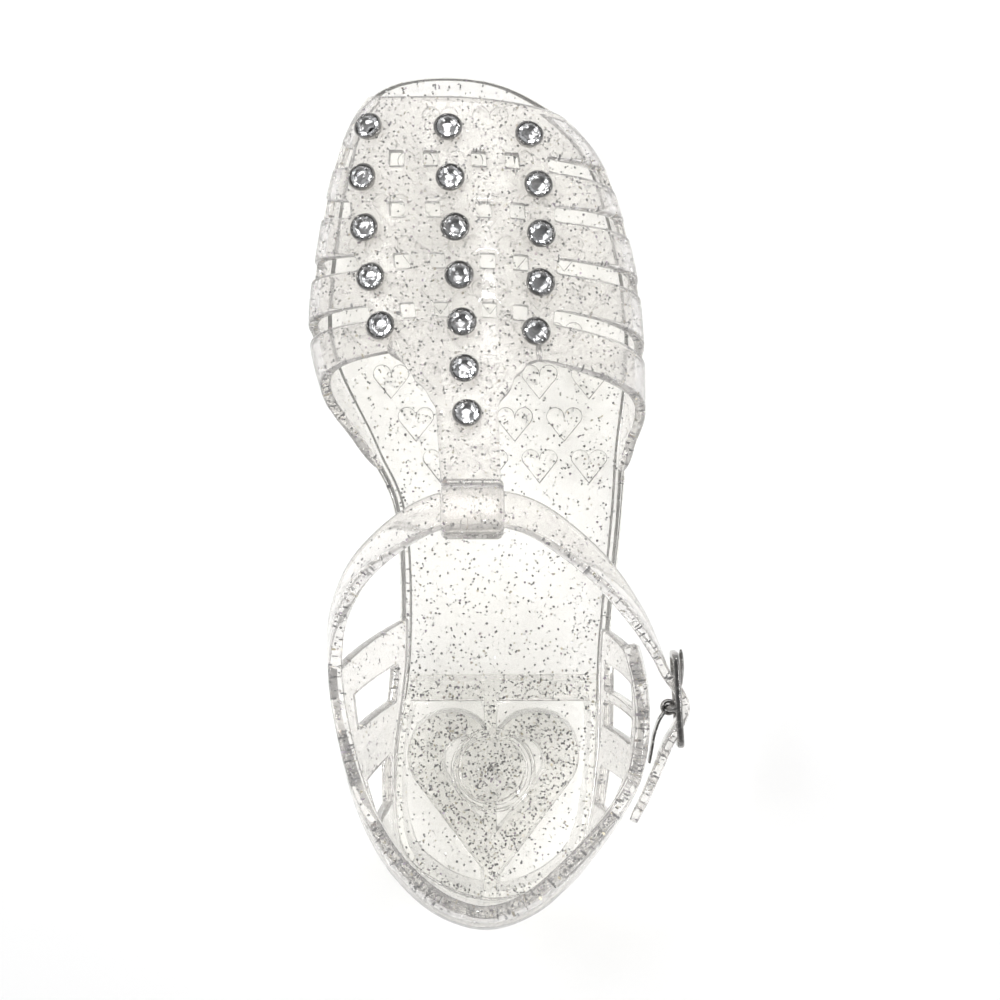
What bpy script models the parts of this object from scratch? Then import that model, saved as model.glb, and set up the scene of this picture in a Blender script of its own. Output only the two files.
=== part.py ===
"""Child's clear jelly sandal for the right foot, as an assembly of separate solids.

Metres. +Z is up, +Y points to the toe and +X to the outer (lateral) side of the foot. The origin is
on the floor, under the middle of the heel.
"""
import math
from collections import namedtuple

import bmesh
import bpy
from mathutils import Matrix, Vector

# Clearance between pieces that touch on the real sandal
GAP = 0.0003

MEDIAL = -1
LATERAL = 1

# Sole outline: half sections from toe to heel, and the two tips
Outline = namedtuple("Outline", "y medial lateral")
TOE_TIP = (-0.0110, 0.1733)
HEEL_TIP = (0.0005, -0.0343)
OUTLINE = [
    Outline(0.1696, -0.0282, 0.0075),
    Outline(0.1557, -0.0366, 0.0252),
    Outline(0.1305, -0.0413, 0.0340),
    Outline(0.1053, -0.0419, 0.0368),
    Outline(0.0801, -0.0308, 0.0343),
    Outline(0.0625, -0.0237, 0.0330),
    Outline(0.0300, -0.0225, 0.0297),
    Outline(0.0027, -0.0259, 0.0289),
    Outline(-0.0195, -0.0244, 0.0254),
    Outline(-0.0300, -0.0140, 0.0160),
]
OUTLINE_STEPS = 5

# Side view of the sole: its underside without lugs, and the top of its rim
Height = namedtuple("Height", "y bottom top")
HEEL_BREAST = 0.0222
HEIGHTS = [
    Height(-0.0350, 0.0012, 0.0192),
    Height(-0.0290, 0.0000, 0.0188),
    Height(-0.0050, 0.0000, 0.0182),
    Height(HEEL_BREAST, 0.0000, 0.0178),
    Height(HEEL_BREAST + 0.0012, 0.0094, 0.0177),
    Height(0.0400, 0.0078, 0.0156),
    Height(0.0580, 0.0048, 0.0122),
    Height(0.0740, 0.0024, 0.0094),
    Height(0.0860, 0.0018, 0.0082),
    Height(0.1340, 0.0018, 0.0080),
    Height(0.1480, 0.0026, 0.0088),
    Height(0.1610, 0.0043, 0.0102),
    Height(0.1740, 0.0068, 0.0122),
]
SOLE_DRAFT = 0.035
RIM_WIDTH = 0.0028
RIM_HEIGHT = 0.0010

# Cored heel
HEEL_WALL = 0.0040
HEEL_BREAST_WALL = 0.0048
HEEL_SEAT = 0.0042
HEEL_SPINE = 0.0030
HEEL_DISC_RADIUS = 0.0085
HEEL_HEART_X = 0.0008
HEEL_HEART_TIP = -0.0285
HEEL_HEART_WIDTH = 0.0430
HEEL_HEART_LENGTH = 0.0430
HEEL_HOLLOW_TIP = -0.0165
HEEL_HOLLOW_WIDTH = 0.0260
HEEL_HOLLOW_LENGTH = 0.0250

# Heart lugs under the forefoot, in staggered rows
LUG_HEIGHT = 0.0018
LUG_WIDTH = 0.0092
LUG_LENGTH = 0.0088
LUG_PITCH_X = 0.0126
LUG_PITCH_Y = 0.0108
LUG_FIRST_ROW = 0.0757
LUG_ROWS = 9
LUG_MARGIN = 0.0018

# Upper edge of the instep: the ridge line of the cage and the T-bar, from toe to ankle
Crown = namedtuple("Crown", "y x z")
CROWN = [
    Crown(0.1680, -0.0110, 0.0200),
    Crown(0.1586, -0.0103, 0.0245),
    Crown(0.1458, -0.0097, 0.0292),
    Crown(0.1335, -0.0085, 0.0325),
    Crown(0.1216, -0.0074, 0.0356),
    Crown(0.1100, -0.0067, 0.0388),
    Crown(0.0985, -0.0061, 0.0428),
    Crown(0.0875, -0.0054, 0.0478),
    Crown(0.0780, -0.0049, 0.0536),
    Crown(0.0700, -0.0046, 0.0590),
]

# Lines across the cage: its front edge and the middle of each row of holes. The y values are on
# the ridge and at the sole on each side, the gaps are half the height of the hole or slot there.
Line = namedtuple("Line", "crown_y medial_y lateral_y crown_gap medial_gap lateral_gap")
CAGE_LINES = [
    Line(0.1680, 0.1690, 0.1625, 0.0, 0.0, 0.0),
    Line(0.1517, 0.1540, 0.1451, 0.00175, 0.0036, 0.0024),
    Line(0.1388, 0.1405, 0.1334, 0.00175, 0.0028, 0.0024),
    Line(0.1261, 0.1225, 0.1174, 0.00175, 0.0027, 0.0024),
    Line(0.1140, 0.1035, 0.0990, 0.00175, 0.0026, 0.0024),
]
REAR_LINE_Y = 0.1030
REAR_STRAP_STEPS = 4

# Lines along the cage: their angle round the arch at the front and rear edge (0 at the sole, 90 on
# the ridge) and where each meets the rear edge. The holes and slots lie between the pairs in
# OPEN_SPANS, and the T-bar leaves the cage where its lines end at TBAR_ROOT_Y.
Column = namedtuple("Column", "name side front_deg rear_deg rear_y")
TBAR_ROOT_Y = 0.0885
COLUMNS = [
    Column("medial base", MEDIAL, 0.0, 0.0, 0.0735),
    Column("medial foot", MEDIAL, 5.0, 5.0, 0.0800),
    Column("medial slot low", MEDIAL, 11.0, 11.0, 0.0860),
    Column("medial side low", MEDIAL, 17.0, 23.0, 0.0930),
    Column("medial side high", MEDIAL, 23.0, 37.0, 0.0985),
    Column("medial shoulder", MEDIAL, 28.5, 52.0, 0.1021),
    Column("medial slot high", MEDIAL, 33.0, 66.5, 0.1038),
    Column("medial bar", MEDIAL, 48.0, 70.5, 0.1030),
    Column("medial hole 1", MEDIAL, 62.2, 74.5, 0.0978),
    Column("medial hole 2", MEDIAL, 69.8, 78.7, 0.0934),
    Column("medial bar edge", MEDIAL, 75.5, 80.8, TBAR_ROOT_Y),
    Column("medial hole 3", MEDIAL, 80.1, 84.1, TBAR_ROOT_Y),
    Column("medial hole 4", MEDIAL, 86.2, 87.5, TBAR_ROOT_Y),
    Column("ridge", LATERAL, 90.0, 90.0, TBAR_ROOT_Y),
    Column("lateral hole 1", LATERAL, 84.2, 86.4, TBAR_ROOT_Y),
    Column("lateral hole 2", LATERAL, 79.5, 83.2, TBAR_ROOT_Y),
    Column("lateral hole 3", LATERAL, 72.3, 79.2, 0.0970),
    Column("lateral hole 4", LATERAL, 67.0, 75.5, 0.1002),
    Column("lateral bar", LATERAL, 60.5, 72.0, 0.1017),
    Column("lateral slot high", LATERAL, 54.0, 68.2, 0.1018),
    Column("lateral shoulder high", LATERAL, 46.0, 59.0, 0.0995),
    Column("lateral shoulder low", LATERAL, 38.0, 49.0, 0.0973),
    Column("lateral side high", LATERAL, 29.0, 36.0, 0.0943),
    Column("lateral side low", LATERAL, 19.0, 22.0, 0.0902),
    Column("lateral slot low", LATERAL, 10.0, 10.0, 0.0838),
    Column("lateral foot", LATERAL, 5.0, 5.0, 0.0788),
    Column("lateral base", LATERAL, 0.0, 0.0, 0.0735),
]
OPEN_SPANS = [
    ("medial slot low", "medial slot high"),
    ("medial hole 1", "medial hole 2"),
    ("medial hole 3", "medial hole 4"),
    ("lateral hole 1", "lateral hole 2"),
    ("lateral hole 3", "lateral hole 4"),
    ("lateral slot high", "lateral slot low"),
]
CAGE_WALL = 0.0026
REACH_POWER = 0.8
RISE_POWER = 0.9
SWEEP_POWER = {MEDIAL: 2.2, LATERAL: 1.6}
Bulge = namedtuple("Bulge", "y medial lateral")
BULGES = [
    Bulge(0.0850, 0.0104, 0.0090),
    Bulge(0.1050, 0.0074, 0.0060),
    Bulge(0.1300, 0.0056, 0.0050),
    Bulge(0.1650, 0.0020, 0.0020),
]

# T-bar and the sleeve that the ankle strap runs through
TBAR_COLUMNS = ("medial bar edge", "lateral hole 2")
TBAR_X = -0.0043
TBAR_WIDTH = 0.0145
TBAR_END_Y = 0.0700
TBAR_STEPS = 3
TBAR_CAMBER = 0.0003
SLEEVE_CENTRE = (-0.0040, 0.0654, 0.0600)
SLEEVE_WIDTH = 0.0148
SLEEVE_LENGTH = 0.0132
SLEEVE_THICKNESS = 0.0080
SLEEVE_SLOPE = math.radians(28.0)
SLEEVE_EDGE = 0.0012
SLOT_LENGTH = 0.0104
SLOT_THICKNESS = 0.0038

# Middle line of the collar and the ankle strap, from the collar's free front end on the outer side,
# round the heel, through the sleeve and the buckle to the tail. The tilt leans the band inwards.
Band = namedtuple("Band", "x y z tilt width thickness")
COLLAR = [
    Band(0.0338, 0.0330, 0.0462, 6, 0.0086, 0.0034),
    Band(0.0358, 0.0250, 0.0468, 5, 0.0100, 0.0035),
    Band(0.0366, 0.0165, 0.0474, 4, 0.0100, 0.0035),
    Band(0.0361, 0.0085, 0.0480, 4, 0.0100, 0.0035),
    Band(0.0344, 0.0010, 0.0486, 5, 0.0100, 0.0035),
    Band(0.0308, -0.0058, 0.0492, 8, 0.0100, 0.0036),
    Band(0.0254, -0.0132, 0.0499, 12, 0.0100, 0.0038),
    Band(0.0186, -0.0208, 0.0506, 16, 0.0100, 0.0040),
    Band(0.0100, -0.0282, 0.0512, 20, 0.0100, 0.0042),
    Band(-0.0005, -0.0318, 0.0514, 22, 0.0100, 0.0042),
    Band(-0.0112, -0.0288, 0.0512, 20, 0.0100, 0.0042),
    Band(-0.0203, -0.0212, 0.0506, 16, 0.0100, 0.0040),
    Band(-0.0264, -0.0125, 0.0499, 12, 0.0100, 0.0038),
    Band(-0.0308, -0.0030, 0.0492, 8, 0.0100, 0.0036),
    Band(-0.0339, 0.0080, 0.0484, 5, 0.0100, 0.0035),
    Band(-0.0362, 0.0195, 0.0482, 4, 0.0100, 0.0035),
]
STRAP = [
    Band(-0.0370, 0.0300, 0.0488, 6, 0.0100, 0.0033),
    Band(-0.0358, 0.0405, 0.0508, 15, 0.0099, 0.0031),
    Band(-0.0306, 0.0512, 0.0540, 29, 0.0097, 0.0030),
    Band(-0.0208, 0.0602, 0.0574, 48, 0.0094, 0.0028),
    Band(-0.0118, 0.0648, 0.0598, 60, 0.0092, 0.0028),
    Band(-0.0040, 0.0654, 0.0600, 62, 0.0092, 0.0028),
    Band(0.0038, 0.0652, 0.0599, 61, 0.0092, 0.0028),
    Band(0.0125, 0.0620, 0.0582, 53, 0.0092, 0.0028),
    Band(0.0250, 0.0522, 0.0546, 37, 0.0093, 0.0027),
    Band(0.0345, 0.0405, 0.0508, 19, 0.0094, 0.0026),
    Band(0.0398, 0.0312, 0.0482, 6, 0.0094, 0.0024),
    Band(0.0420, 0.0262, 0.0473, 1, 0.0094, 0.0024),
    Band(0.0450, 0.0220, 0.0470, 0, 0.0094, 0.0024),
    Band(0.0465, 0.0180, 0.0470, 0, 0.0094, 0.0024),
    Band(0.0449, 0.0135, 0.0470, 0, 0.0094, 0.0024),
    Band(0.0426, 0.0095, 0.0470, 0, 0.0094, 0.0024),
    Band(0.0402, 0.0035, 0.0469, 2, 0.0094, 0.0024),
    Band(0.0372, -0.0035, 0.0467, 4, 0.0092, 0.0024),
    Band(0.0354, -0.0072, 0.0466, 5, 0.0080, 0.0023),
    Band(0.0344, -0.0094, 0.0465, 5, 0.0044, 0.0020),
]
BAND_STEPS = 3

# Heel counter under the collar, from the outer side round the heel to the inner side
COUNTER_WALL = 0.0026
COUNTER_INSET = 0.0003
COUNTER_BASE_LATERAL_Y = 0.0355
COUNTER_BASE_MEDIAL_Y = 0.0382
COUNTER_TOP_LATERAL_Y = 0.0290
COUNTER_TOP_MEDIAL_Y = 0.0280
COUNTER_TUCK = 0.0024
COUNTER_BULGE = 0.0012
COUNTER_STEPS = 44
WINDOW_LOW = 0.14
WINDOW_MIDDLE = 0.45
WINDOW_HIGH = 0.76
Window = namedtuple("Window", "side front rear")
WINDOWS = [
    Window(LATERAL, 0.0275, 0.0215),
    Window(LATERAL, 0.0185, 0.0125),
    Window(LATERAL, 0.0020, -0.0070),
    Window(MEDIAL, 0.0280, 0.0195),
    Window(MEDIAL, 0.0055, -0.0055),
]

# Buckle on the outer side: frame, cranked centre bar, prong and anchor leaf
BUCKLE_CENTRE = (0.0448, 0.0200, 0.0470)
BUCKLE_TURN = math.radians(3.5)
BUCKLE_LENGTH = 0.0228
BUCKLE_HEIGHT = 0.0150
BUCKLE_RAIL = 0.0018
BUCKLE_THICKNESS = 0.0016
BUCKLE_CORNER = 0.0016
BAR_X = 0.0428
BAR_Y = 0.0180
BAR_RADIUS = 0.00075
BAR_STRAIGHT = 0.0056
LEAF_HEIGHT = 0.0070
LEAF_THICKNESS = 0.0005
LEAF_LOOP_RADIUS = 0.00155
LEAF_NOTCH = 0.0028
PRONG_RADIUS = 0.0005
PRONG_LOOP_RADIUS = 0.0015
PRONG_HOLE_Y = 0.0222
PRONG_HOLE_HEIGHT = 0.0022
PRONG_HOLE_LENGTH = 0.0046
SPARE_HOLES = 3
SPARE_HOLE_FIRST = (0.0390, 0.0071, 0.0468)
SPARE_HOLE_PITCH = 0.0062
SPARE_HOLE_RADIUS = 0.0009
BUCKLE_WAIST = 0.0030

# Stones: the middle of each strap on the ridge, and the angle round the arch of each bar
STONE_ROWS = [0.1586, 0.1458, 0.1335, 0.1216, 0.1100]
TBAR_STONE_ROWS = [0.0985, 0.0875]
STONE_BARS = [(MEDIAL, 47.3, 68.8, 0.0002), (LATERAL, 60.5, 73.9, -0.0008)]
STONE_RADIUS = 0.0029
STONE_TABLE_RADIUS = 0.0016
STONE_CROWN = 0.0013
STONE_DEPTH = 0.0010
STONE_SIDES = 8
CUP_RADIUS = 0.0036
CUP_LIP = 0.0003
CUP_HEIGHT = 0.0018
CUP_FLOOR = 0.0005
CUP_FLOOR_RADIUS = 0.0026
CUP_SEAT = 0.0004
CUP_SIDES = 12

COLOURS = {
    "pvc": ((0.86, 0.86, 0.80, 1.0), 0.16, 0.0),
    "metal": ((0.42, 0.42, 0.43, 1.0), 0.25, 1.0),
    "glass": ((0.90, 0.92, 0.95, 1.0), 0.03, 0.0),
}


def clear_scene():
    for item in list(bpy.data.objects):
        bpy.data.objects.remove(item, do_unlink=True)


def new_collection(name):
    collection = bpy.data.collections.new(name)
    bpy.context.scene.collection.children.link(collection)
    return collection


def new_material(name, look):
    colour, roughness, metallic = COLOURS[look]
    material = bpy.data.materials.new(name)
    material.use_nodes = True
    shader = material.node_tree.nodes["Principled BSDF"]
    shader.inputs["Base Color"].default_value = colour
    shader.inputs["Roughness"].default_value = roughness
    shader.inputs["Metallic"].default_value = metallic
    return material


def new_object(name, mesh, collection):
    """Object from a bmesh, which is freed."""
    data = bpy.data.meshes.new(name)
    mesh.to_mesh(data)
    mesh.free()
    item = bpy.data.objects.new(name, data)
    collection.objects.link(item)
    return item


def finish_piece(item, look):
    item.data.materials.clear()
    item.data.materials.append(new_material(item.name, look))


def new_cutter(name, mesh, cutters):
    """Helper body for a Boolean, kept out of the finished sandal."""
    item = new_object(name, mesh, cutters)
    item.hide_render = True
    item.display_type = "WIRE"
    return item


def boolean(target, other, operation):
    modifier = target.modifiers.new(operation.title(), "BOOLEAN")
    modifier.operation = operation
    modifier.solver = "EXACT"
    modifier.object = other


def bake(item):
    """Replace an object's mesh by its evaluated one, in place."""
    graph = bpy.context.evaluated_depsgraph_get()
    mesh = bpy.data.meshes.new_from_object(item.evaluated_get(graph))
    item.modifiers.clear()
    item.data = mesh


def spline(rows, steps, closed=False):
    """Catmull-Rom curve through rows of numbers, with a number of steps in each span."""
    count = len(rows)
    spans = count if closed else count - 1
    samples = []
    for span in range(spans):
        picks = [span - 1, span, span + 1, span + 2]
        if closed:
            before, start, end, after = (rows[pick % count] for pick in picks)
        else:
            before, start, end, after = (rows[min(max(pick, 0), count - 1)] for pick in picks)
        for step in range(steps):
            t = step / steps
            samples.append(tuple(
                b + 0.5 * t * (c - a + t * (2 * a - 5 * b + 4 * c - d + t * (3 * (b - c) + d - a)))
                for a, b, c, d in zip(before, start, end, after)
            ))
    if not closed:
        samples.append(tuple(rows[-1]))
    return samples


def value_at(samples, key, position, column):
    """Column of a sampled curve where its key column reaches a position."""
    for start, end in zip(samples, samples[1:]):
        low, high = sorted((start[key], end[key]))
        if low <= position <= high and high > low:
            share = (position - start[key]) / (end[key] - start[key])
            return start[column] + (end[column] - start[column]) * share
    nearest = min(samples, key=lambda sample: abs(sample[key] - position))
    return nearest[column]


def sole_outline():
    """Closed outline of the sole as (x, y), down the inner side and up the outer side."""
    down = [(row.medial, row.y) for row in OUTLINE]
    up = [(row.lateral, row.y) for row in reversed(OUTLINE)]
    return spline([TOE_TIP] + down + [HEEL_TIP] + up, OUTLINE_STEPS, closed=True)


SOLE_LOOP = sole_outline()
HALF = len(SOLE_LOOP) // 2
EDGE = {MEDIAL: SOLE_LOOP[: HALF + 1], LATERAL: SOLE_LOOP[HALF:] + SOLE_LOOP[:1]}
RIDGE = spline(CROWN, 4)


def edge_x(side, y):
    return value_at(EDGE[side], 1, y, 0)


def rim_top(y):
    return value_at(HEIGHTS, 0, y, 2)


def underside(y):
    return value_at(HEIGHTS, 0, y, 1)


def ridge_point(y):
    return value_at(RIDGE, 0, y, 1), value_at(RIDGE, 0, y, 2)


def inset(loop, distance):
    """Offset a closed loop that runs anticlockwise inwards."""
    count = len(loop)
    moved = []
    for index, (x, y) in enumerate(loop):
        before = loop[index - 1]
        after = loop[(index + 1) % count]
        along = Vector((after[0] - before[0], after[1] - before[1])).normalized()
        moved.append((x - along.y * distance, y + along.x * distance))
    return moved


def slab(loops, low, high, stations=()):
    """Prism over closed outlines, whose floor and top follow functions of y."""
    mesh = bmesh.new()
    for loop in loops:
        mesh.faces.new([mesh.verts.new((x, y, 0.0)) for x, y in loop])
    for station in stations:
        parts = mesh.verts[:] + mesh.edges[:] + mesh.faces[:]
        bmesh.ops.bisect_plane(
            mesh, geom=parts, dist=1e-6, plane_co=(0.0, station, 0.0), plane_no=(0.0, 1.0, 0.0)
        )
    lifted = bmesh.ops.extrude_face_region(mesh, geom=mesh.faces[:])
    upper = {part for part in lifted["geom"] if isinstance(part, bmesh.types.BMVert)}
    for vert in mesh.verts:
        vert.co.z = high(vert.co.y) if vert in upper else low(vert.co.y)
    bmesh.ops.recalc_face_normals(mesh, faces=mesh.faces[:])
    return mesh


def heart(centre_x, tip_y, width, length, steps):
    """Heart outline, anticlockwise from its tip at the heel end: two round lobes and straight sides."""
    radius = width / 4
    lobe_y = tip_y + length - radius
    to_lobe = math.hypot(radius, length - radius)
    side = math.atan2(length - radius, radius) - math.asin(radius / to_lobe)
    first = side - math.pi / 2
    right = []
    for step in range(steps):
        turn = first + (math.pi - first) * step / steps
        right.append((radius + radius * math.cos(turn), lobe_y + radius * math.sin(turn)))
    left = [(-x, y) for x, y in reversed(right)]
    outline = [(0.0, tip_y)] + right + [(0.0, lobe_y)] + left
    return [(centre_x + x, y) for x, y in outline]


def circle(centre_x, centre_y, radius, steps):
    turns = [math.tau * step / steps for step in range(steps)]
    return [(centre_x + radius * math.cos(t), centre_y + radius * math.sin(t)) for t in turns]


def box(minimum, maximum):
    """Box between two corners, as a bmesh."""
    mesh = bmesh.new()
    bmesh.ops.create_cube(mesh, size=1.0)
    size = [high - low for low, high in zip(minimum, maximum)]
    middle = [(high + low) / 2 for low, high in zip(minimum, maximum)]
    bmesh.ops.scale(mesh, vec=size, verts=mesh.verts)
    bmesh.ops.translate(mesh, vec=middle, verts=mesh.verts)
    return mesh


def heel_core(cutters):
    """The hollows of the heel: its inside less the heart rib, the disc and the spine."""
    ceiling = rim_top(0.0) - RIM_HEIGHT - HEEL_SEAT
    core = slab([inset(SOLE_LOOP, HEEL_WALL)], lambda y: -0.01, lambda y: ceiling)
    core = new_cutter("heel_core", core, cutters)
    front = new_cutter(
        "core_front", box((-0.06, HEEL_BREAST - HEEL_BREAST_WALL, -0.02), (0.06, 0.20, 0.03)), cutters
    )
    outer = heart(HEEL_HEART_X, HEEL_HEART_TIP, HEEL_HEART_WIDTH, HEEL_HEART_LENGTH, 12)
    inner = heart(HEEL_HEART_X, HEEL_HOLLOW_TIP, HEEL_HOLLOW_WIDTH, HEEL_HOLLOW_LENGTH, 9)
    rib = new_cutter("heart_rib", slab([outer], lambda y: -0.02, lambda y: 0.02), cutters)
    hollow = new_cutter("heart_hollow", slab([inner], lambda y: -0.03, lambda y: 0.03), cutters)
    boolean(rib, hollow, "DIFFERENCE")
    disc = circle(0.0, 0.0, HEEL_DISC_RADIUS, 20)
    disc = new_cutter("heel_disc", slab([disc], lambda y: -0.02, lambda y: 0.02), cutters)
    spine = box((-HEEL_SPINE / 2, -0.06, -0.02), (HEEL_SPINE / 2, 0.06, 0.02))
    spine = new_cutter("heel_spine", spine, cutters)
    for solid in (front, rib, disc, spine):
        boolean(core, solid, "DIFFERENCE")
    return core


def heart_lugs(cutters):
    """Staggered heart lugs that fit inside the forefoot's outline."""
    mesh = bmesh.new()
    for row in range(LUG_ROWS):
        y = LUG_FIRST_ROW + row * LUG_PITCH_Y
        shift = 0.0 if row % 2 == 0 else LUG_PITCH_X / 2
        for column in range(-4, 4):
            x = column * LUG_PITCH_X + shift
            reach = LUG_WIDTH / 2 + LUG_MARGIN
            ends = (y - LUG_LENGTH / 2, y + LUG_LENGTH / 2)
            inside = all(
                edge_x(MEDIAL, end) + reach < x < edge_x(LATERAL, end) - reach for end in ends
            )
            if not inside or ends[1] > OUTLINE[0].y:
                continue
            slope = (underside(ends[1]) - underside(ends[0])) / LUG_LENGTH
            floor = underside(y) - LUG_HEIGHT
            lug = slab(
                [heart(x, y - LUG_LENGTH / 2, LUG_WIDTH, LUG_LENGTH, 5)],
                lambda at: max(floor + slope * (at - y), 0.0),
                lambda at: underside(y) + LUG_HEIGHT,
            )
            data = bpy.data.meshes.new("lug")
            lug.to_mesh(data)
            lug.free()
            mesh.from_mesh(data)
            bpy.data.meshes.remove(data)
    return new_cutter("heart_lugs", mesh, cutters)


def build_sole(pieces, cutters):
    stations = [row.y for row in HEIGHTS]
    mesh = slab([SOLE_LOOP], underside, rim_top, stations)
    for vert in mesh.verts:
        if vert.co.z < rim_top(vert.co.y) - 0.001:
            middle = (edge_x(MEDIAL, vert.co.y) + edge_x(LATERAL, vert.co.y)) / 2
            vert.co.x = middle + (vert.co.x - middle) * (1 - SOLE_DRAFT)
    sole = new_object("sole", mesh, pieces)
    footbed = slab(
        [inset(SOLE_LOOP, RIM_WIDTH)],
        lambda y: rim_top(y) - RIM_HEIGHT,
        lambda y: rim_top(y) + 0.01,
        stations,
    )
    boolean(sole, new_cutter("footbed_recess", footbed, cutters), "DIFFERENCE")
    boolean(sole, heel_core(cutters), "DIFFERENCE")
    boolean(sole, heart_lugs(cutters), "UNION")
    bake(sole)
    finish_piece(sole, "pvc")


def grid_shell(name, points, open_cells, thickness, collection):
    """Sheet over a grid of points, with some cells left open, thickened inwards."""
    mesh = bmesh.new()
    rows = [[mesh.verts.new(point) for point in line] for line in points]
    for r in range(len(rows) - 1):
        for c in range(len(rows[r]) - 1):
            if (r, c) in open_cells or c + 1 >= len(rows[r + 1]):
                continue
            mesh.faces.new((rows[r][c], rows[r + 1][c], rows[r + 1][c + 1], rows[r][c + 1]))
    bmesh.ops.delete(mesh, geom=[v for v in mesh.verts if not v.link_faces], context="VERTS")
    item = new_object(name, mesh, collection)
    modifier = item.modifiers.new("Wall", "SOLIDIFY")
    modifier.thickness = thickness
    modifier.offset = -1.0
    modifier.use_even_offset = False
    return item


def seat_on_rim(item):
    """Level the lower edge of a wall just above the rim that it stands on."""
    for vert in item.data.vertices:
        vert.co.z = max(vert.co.z, rim_top(vert.co.y) + GAP)


def column_angle(column, share):
    return math.radians(column.front_deg + (column.rear_deg - column.front_deg) * share)


def bulge(side, y):
    """How far the cage's side swells out past the sole's edge, by the place along the foot."""
    return value_at(BULGES, 0, y, 1 if side == MEDIAL else 2)


def arch_point(side, angle, y, crown_y):
    """Point on the cage's outer face: from the sole's edge up and over to the ridge."""
    ridge_x, ridge_z = ridge_point(crown_y)
    floor = rim_top(y) + GAP
    reach = math.cos(angle) ** REACH_POWER
    swell = bulge(side, y) * math.sin(2 * angle) * math.cos(angle)
    x = ridge_x + (edge_x(side, y) - ridge_x) * reach + side * swell
    z = floor + (ridge_z - floor) * math.sin(angle) ** RISE_POWER
    return Vector((x, y, z))


def line_share(crown_y):
    """Place of a cross line between the front edge (0) and the rear edge (1)."""
    front = CAGE_LINES[0].crown_y
    return min(max((front - crown_y) / (front - REAR_LINE_Y), 0.0), 1.0)


def cage_point(column, line):
    """Point where a lengthwise line crosses a cross line."""
    angle = column_angle(column, line_share(line.crown_y))
    base_y = line.medial_y if column.side == MEDIAL else line.lateral_y
    sweep = max(1 - angle / math.radians(90.0), 0.0) ** SWEEP_POWER[column.side]
    y = line.crown_y + (base_y - line.crown_y) * sweep
    return arch_point(column.side, angle, y, line.crown_y)


def shifted(line, share):
    """A line moved by a share of its half gaps, towards the toe."""
    return line._replace(
        crown_y=line.crown_y + share * line.crown_gap,
        medial_y=line.medial_y + share * line.medial_gap,
        lateral_y=line.lateral_y + share * line.lateral_gap,
    )


def between(first, second, share):
    return Line(*(a + (b - a) * share for a, b in zip(first, second)))


def cage_grid():
    """Grid of the cage from front to rear edge, and the rows of cells that hold the openings."""
    lines = [CAGE_LINES[0]]
    gap_rows = []
    for line in CAGE_LINES[1:]:
        front, rear = shifted(line, 1), shifted(line, -1)
        lines.append(between(lines[-1], front, 0.5))
        lines.append(front)
        gap_rows.append(len(lines) - 1)
        lines.append(rear)
    grid = [[cage_point(column, line) for column in COLUMNS] for line in lines]
    last = lines[-1]
    for step in range(1, REAR_STRAP_STEPS + 1):
        share = step / REAR_STRAP_STEPS
        row = []
        for column, start in zip(COLUMNS, grid[len(lines) - 1]):
            y = start.y + (column.rear_y - start.y) * share
            crown_y = last.crown_y + (column.rear_y - last.crown_y) * share
            crown_y = max(crown_y, column.rear_y)
            angle = column_angle(column, line_share(last.crown_y + (REAR_LINE_Y - last.crown_y) * share))
            row.append(arch_point(column.side, angle, y, crown_y))
        grid.append(row)
    return grid, gap_rows


def column_index(name):
    return [column.name for column in COLUMNS].index(name)


def cage_shell(pieces):
    """The cage and its T-bar as one sheet with openings, given its wall."""
    grid, gap_rows = cage_grid()
    open_cells = set()
    for row in gap_rows:
        for start, end in OPEN_SPANS:
            for cell in range(column_index(start), column_index(end)):
                open_cells.add((row, cell))
    first, last = (column_index(name) for name in TBAR_COLUMNS)
    throat = grid[-1]
    for step in range(1, TBAR_STEPS + 1):
        share = step / TBAR_STEPS
        row = []
        for index, start in enumerate(throat):
            place = (index - first) / (last - first) - 0.5
            y = start.y + (TBAR_END_Y - start.y) * share
            x = start.x + (TBAR_X + place * TBAR_WIDTH - start.x) * share
            z = ridge_point(y)[1] - TBAR_CAMBER * (2 * place) ** 2
            row.append(Vector((x, y, z)))
        grid.append(row)
        for cell in range(len(COLUMNS) - 1):
            if not first <= cell < last:
                open_cells.add((len(grid) - 2, cell))
    cage = grid_shell("front_upper", grid, open_cells, CAGE_WALL, pieces)
    bake(cage)
    seat_on_rim(cage)
    return cage


def sleeve(cutters):
    """Sleeve at the end of the T-bar, with the slot for the ankle strap."""
    half = [SLEEVE_WIDTH / 2, SLEEVE_LENGTH / 2, SLEEVE_THICKNESS / 2]
    body = box([-size for size in half], half)
    bmesh.ops.bevel(
        body, geom=body.edges[:], offset=SLEEVE_EDGE, segments=1, affect="EDGES", clamp_overlap=True
    )
    slot = box(
        (-0.02, -SLOT_LENGTH / 2, -SLOT_THICKNESS / 2), (0.02, SLOT_LENGTH / 2, SLOT_THICKNESS / 2)
    )
    place = Matrix.Translation(SLEEVE_CENTRE) @ Matrix.Rotation(-SLEEVE_SLOPE, 4, "X")
    for mesh in (body, slot):
        bmesh.ops.transform(mesh, matrix=place, verts=mesh.verts)
    body = new_cutter("sleeve_body", body, cutters)
    slot = new_cutter("sleeve_slot", slot, cutters)
    return body, slot


def build_front_upper(pieces, cutters):
    cage = cage_shell(pieces)
    body, slot = sleeve(cutters)
    boolean(cage, body, "UNION")
    boolean(cage, slot, "DIFFERENCE")
    bake(cage)
    finish_piece(cage, "pvc")


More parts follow.
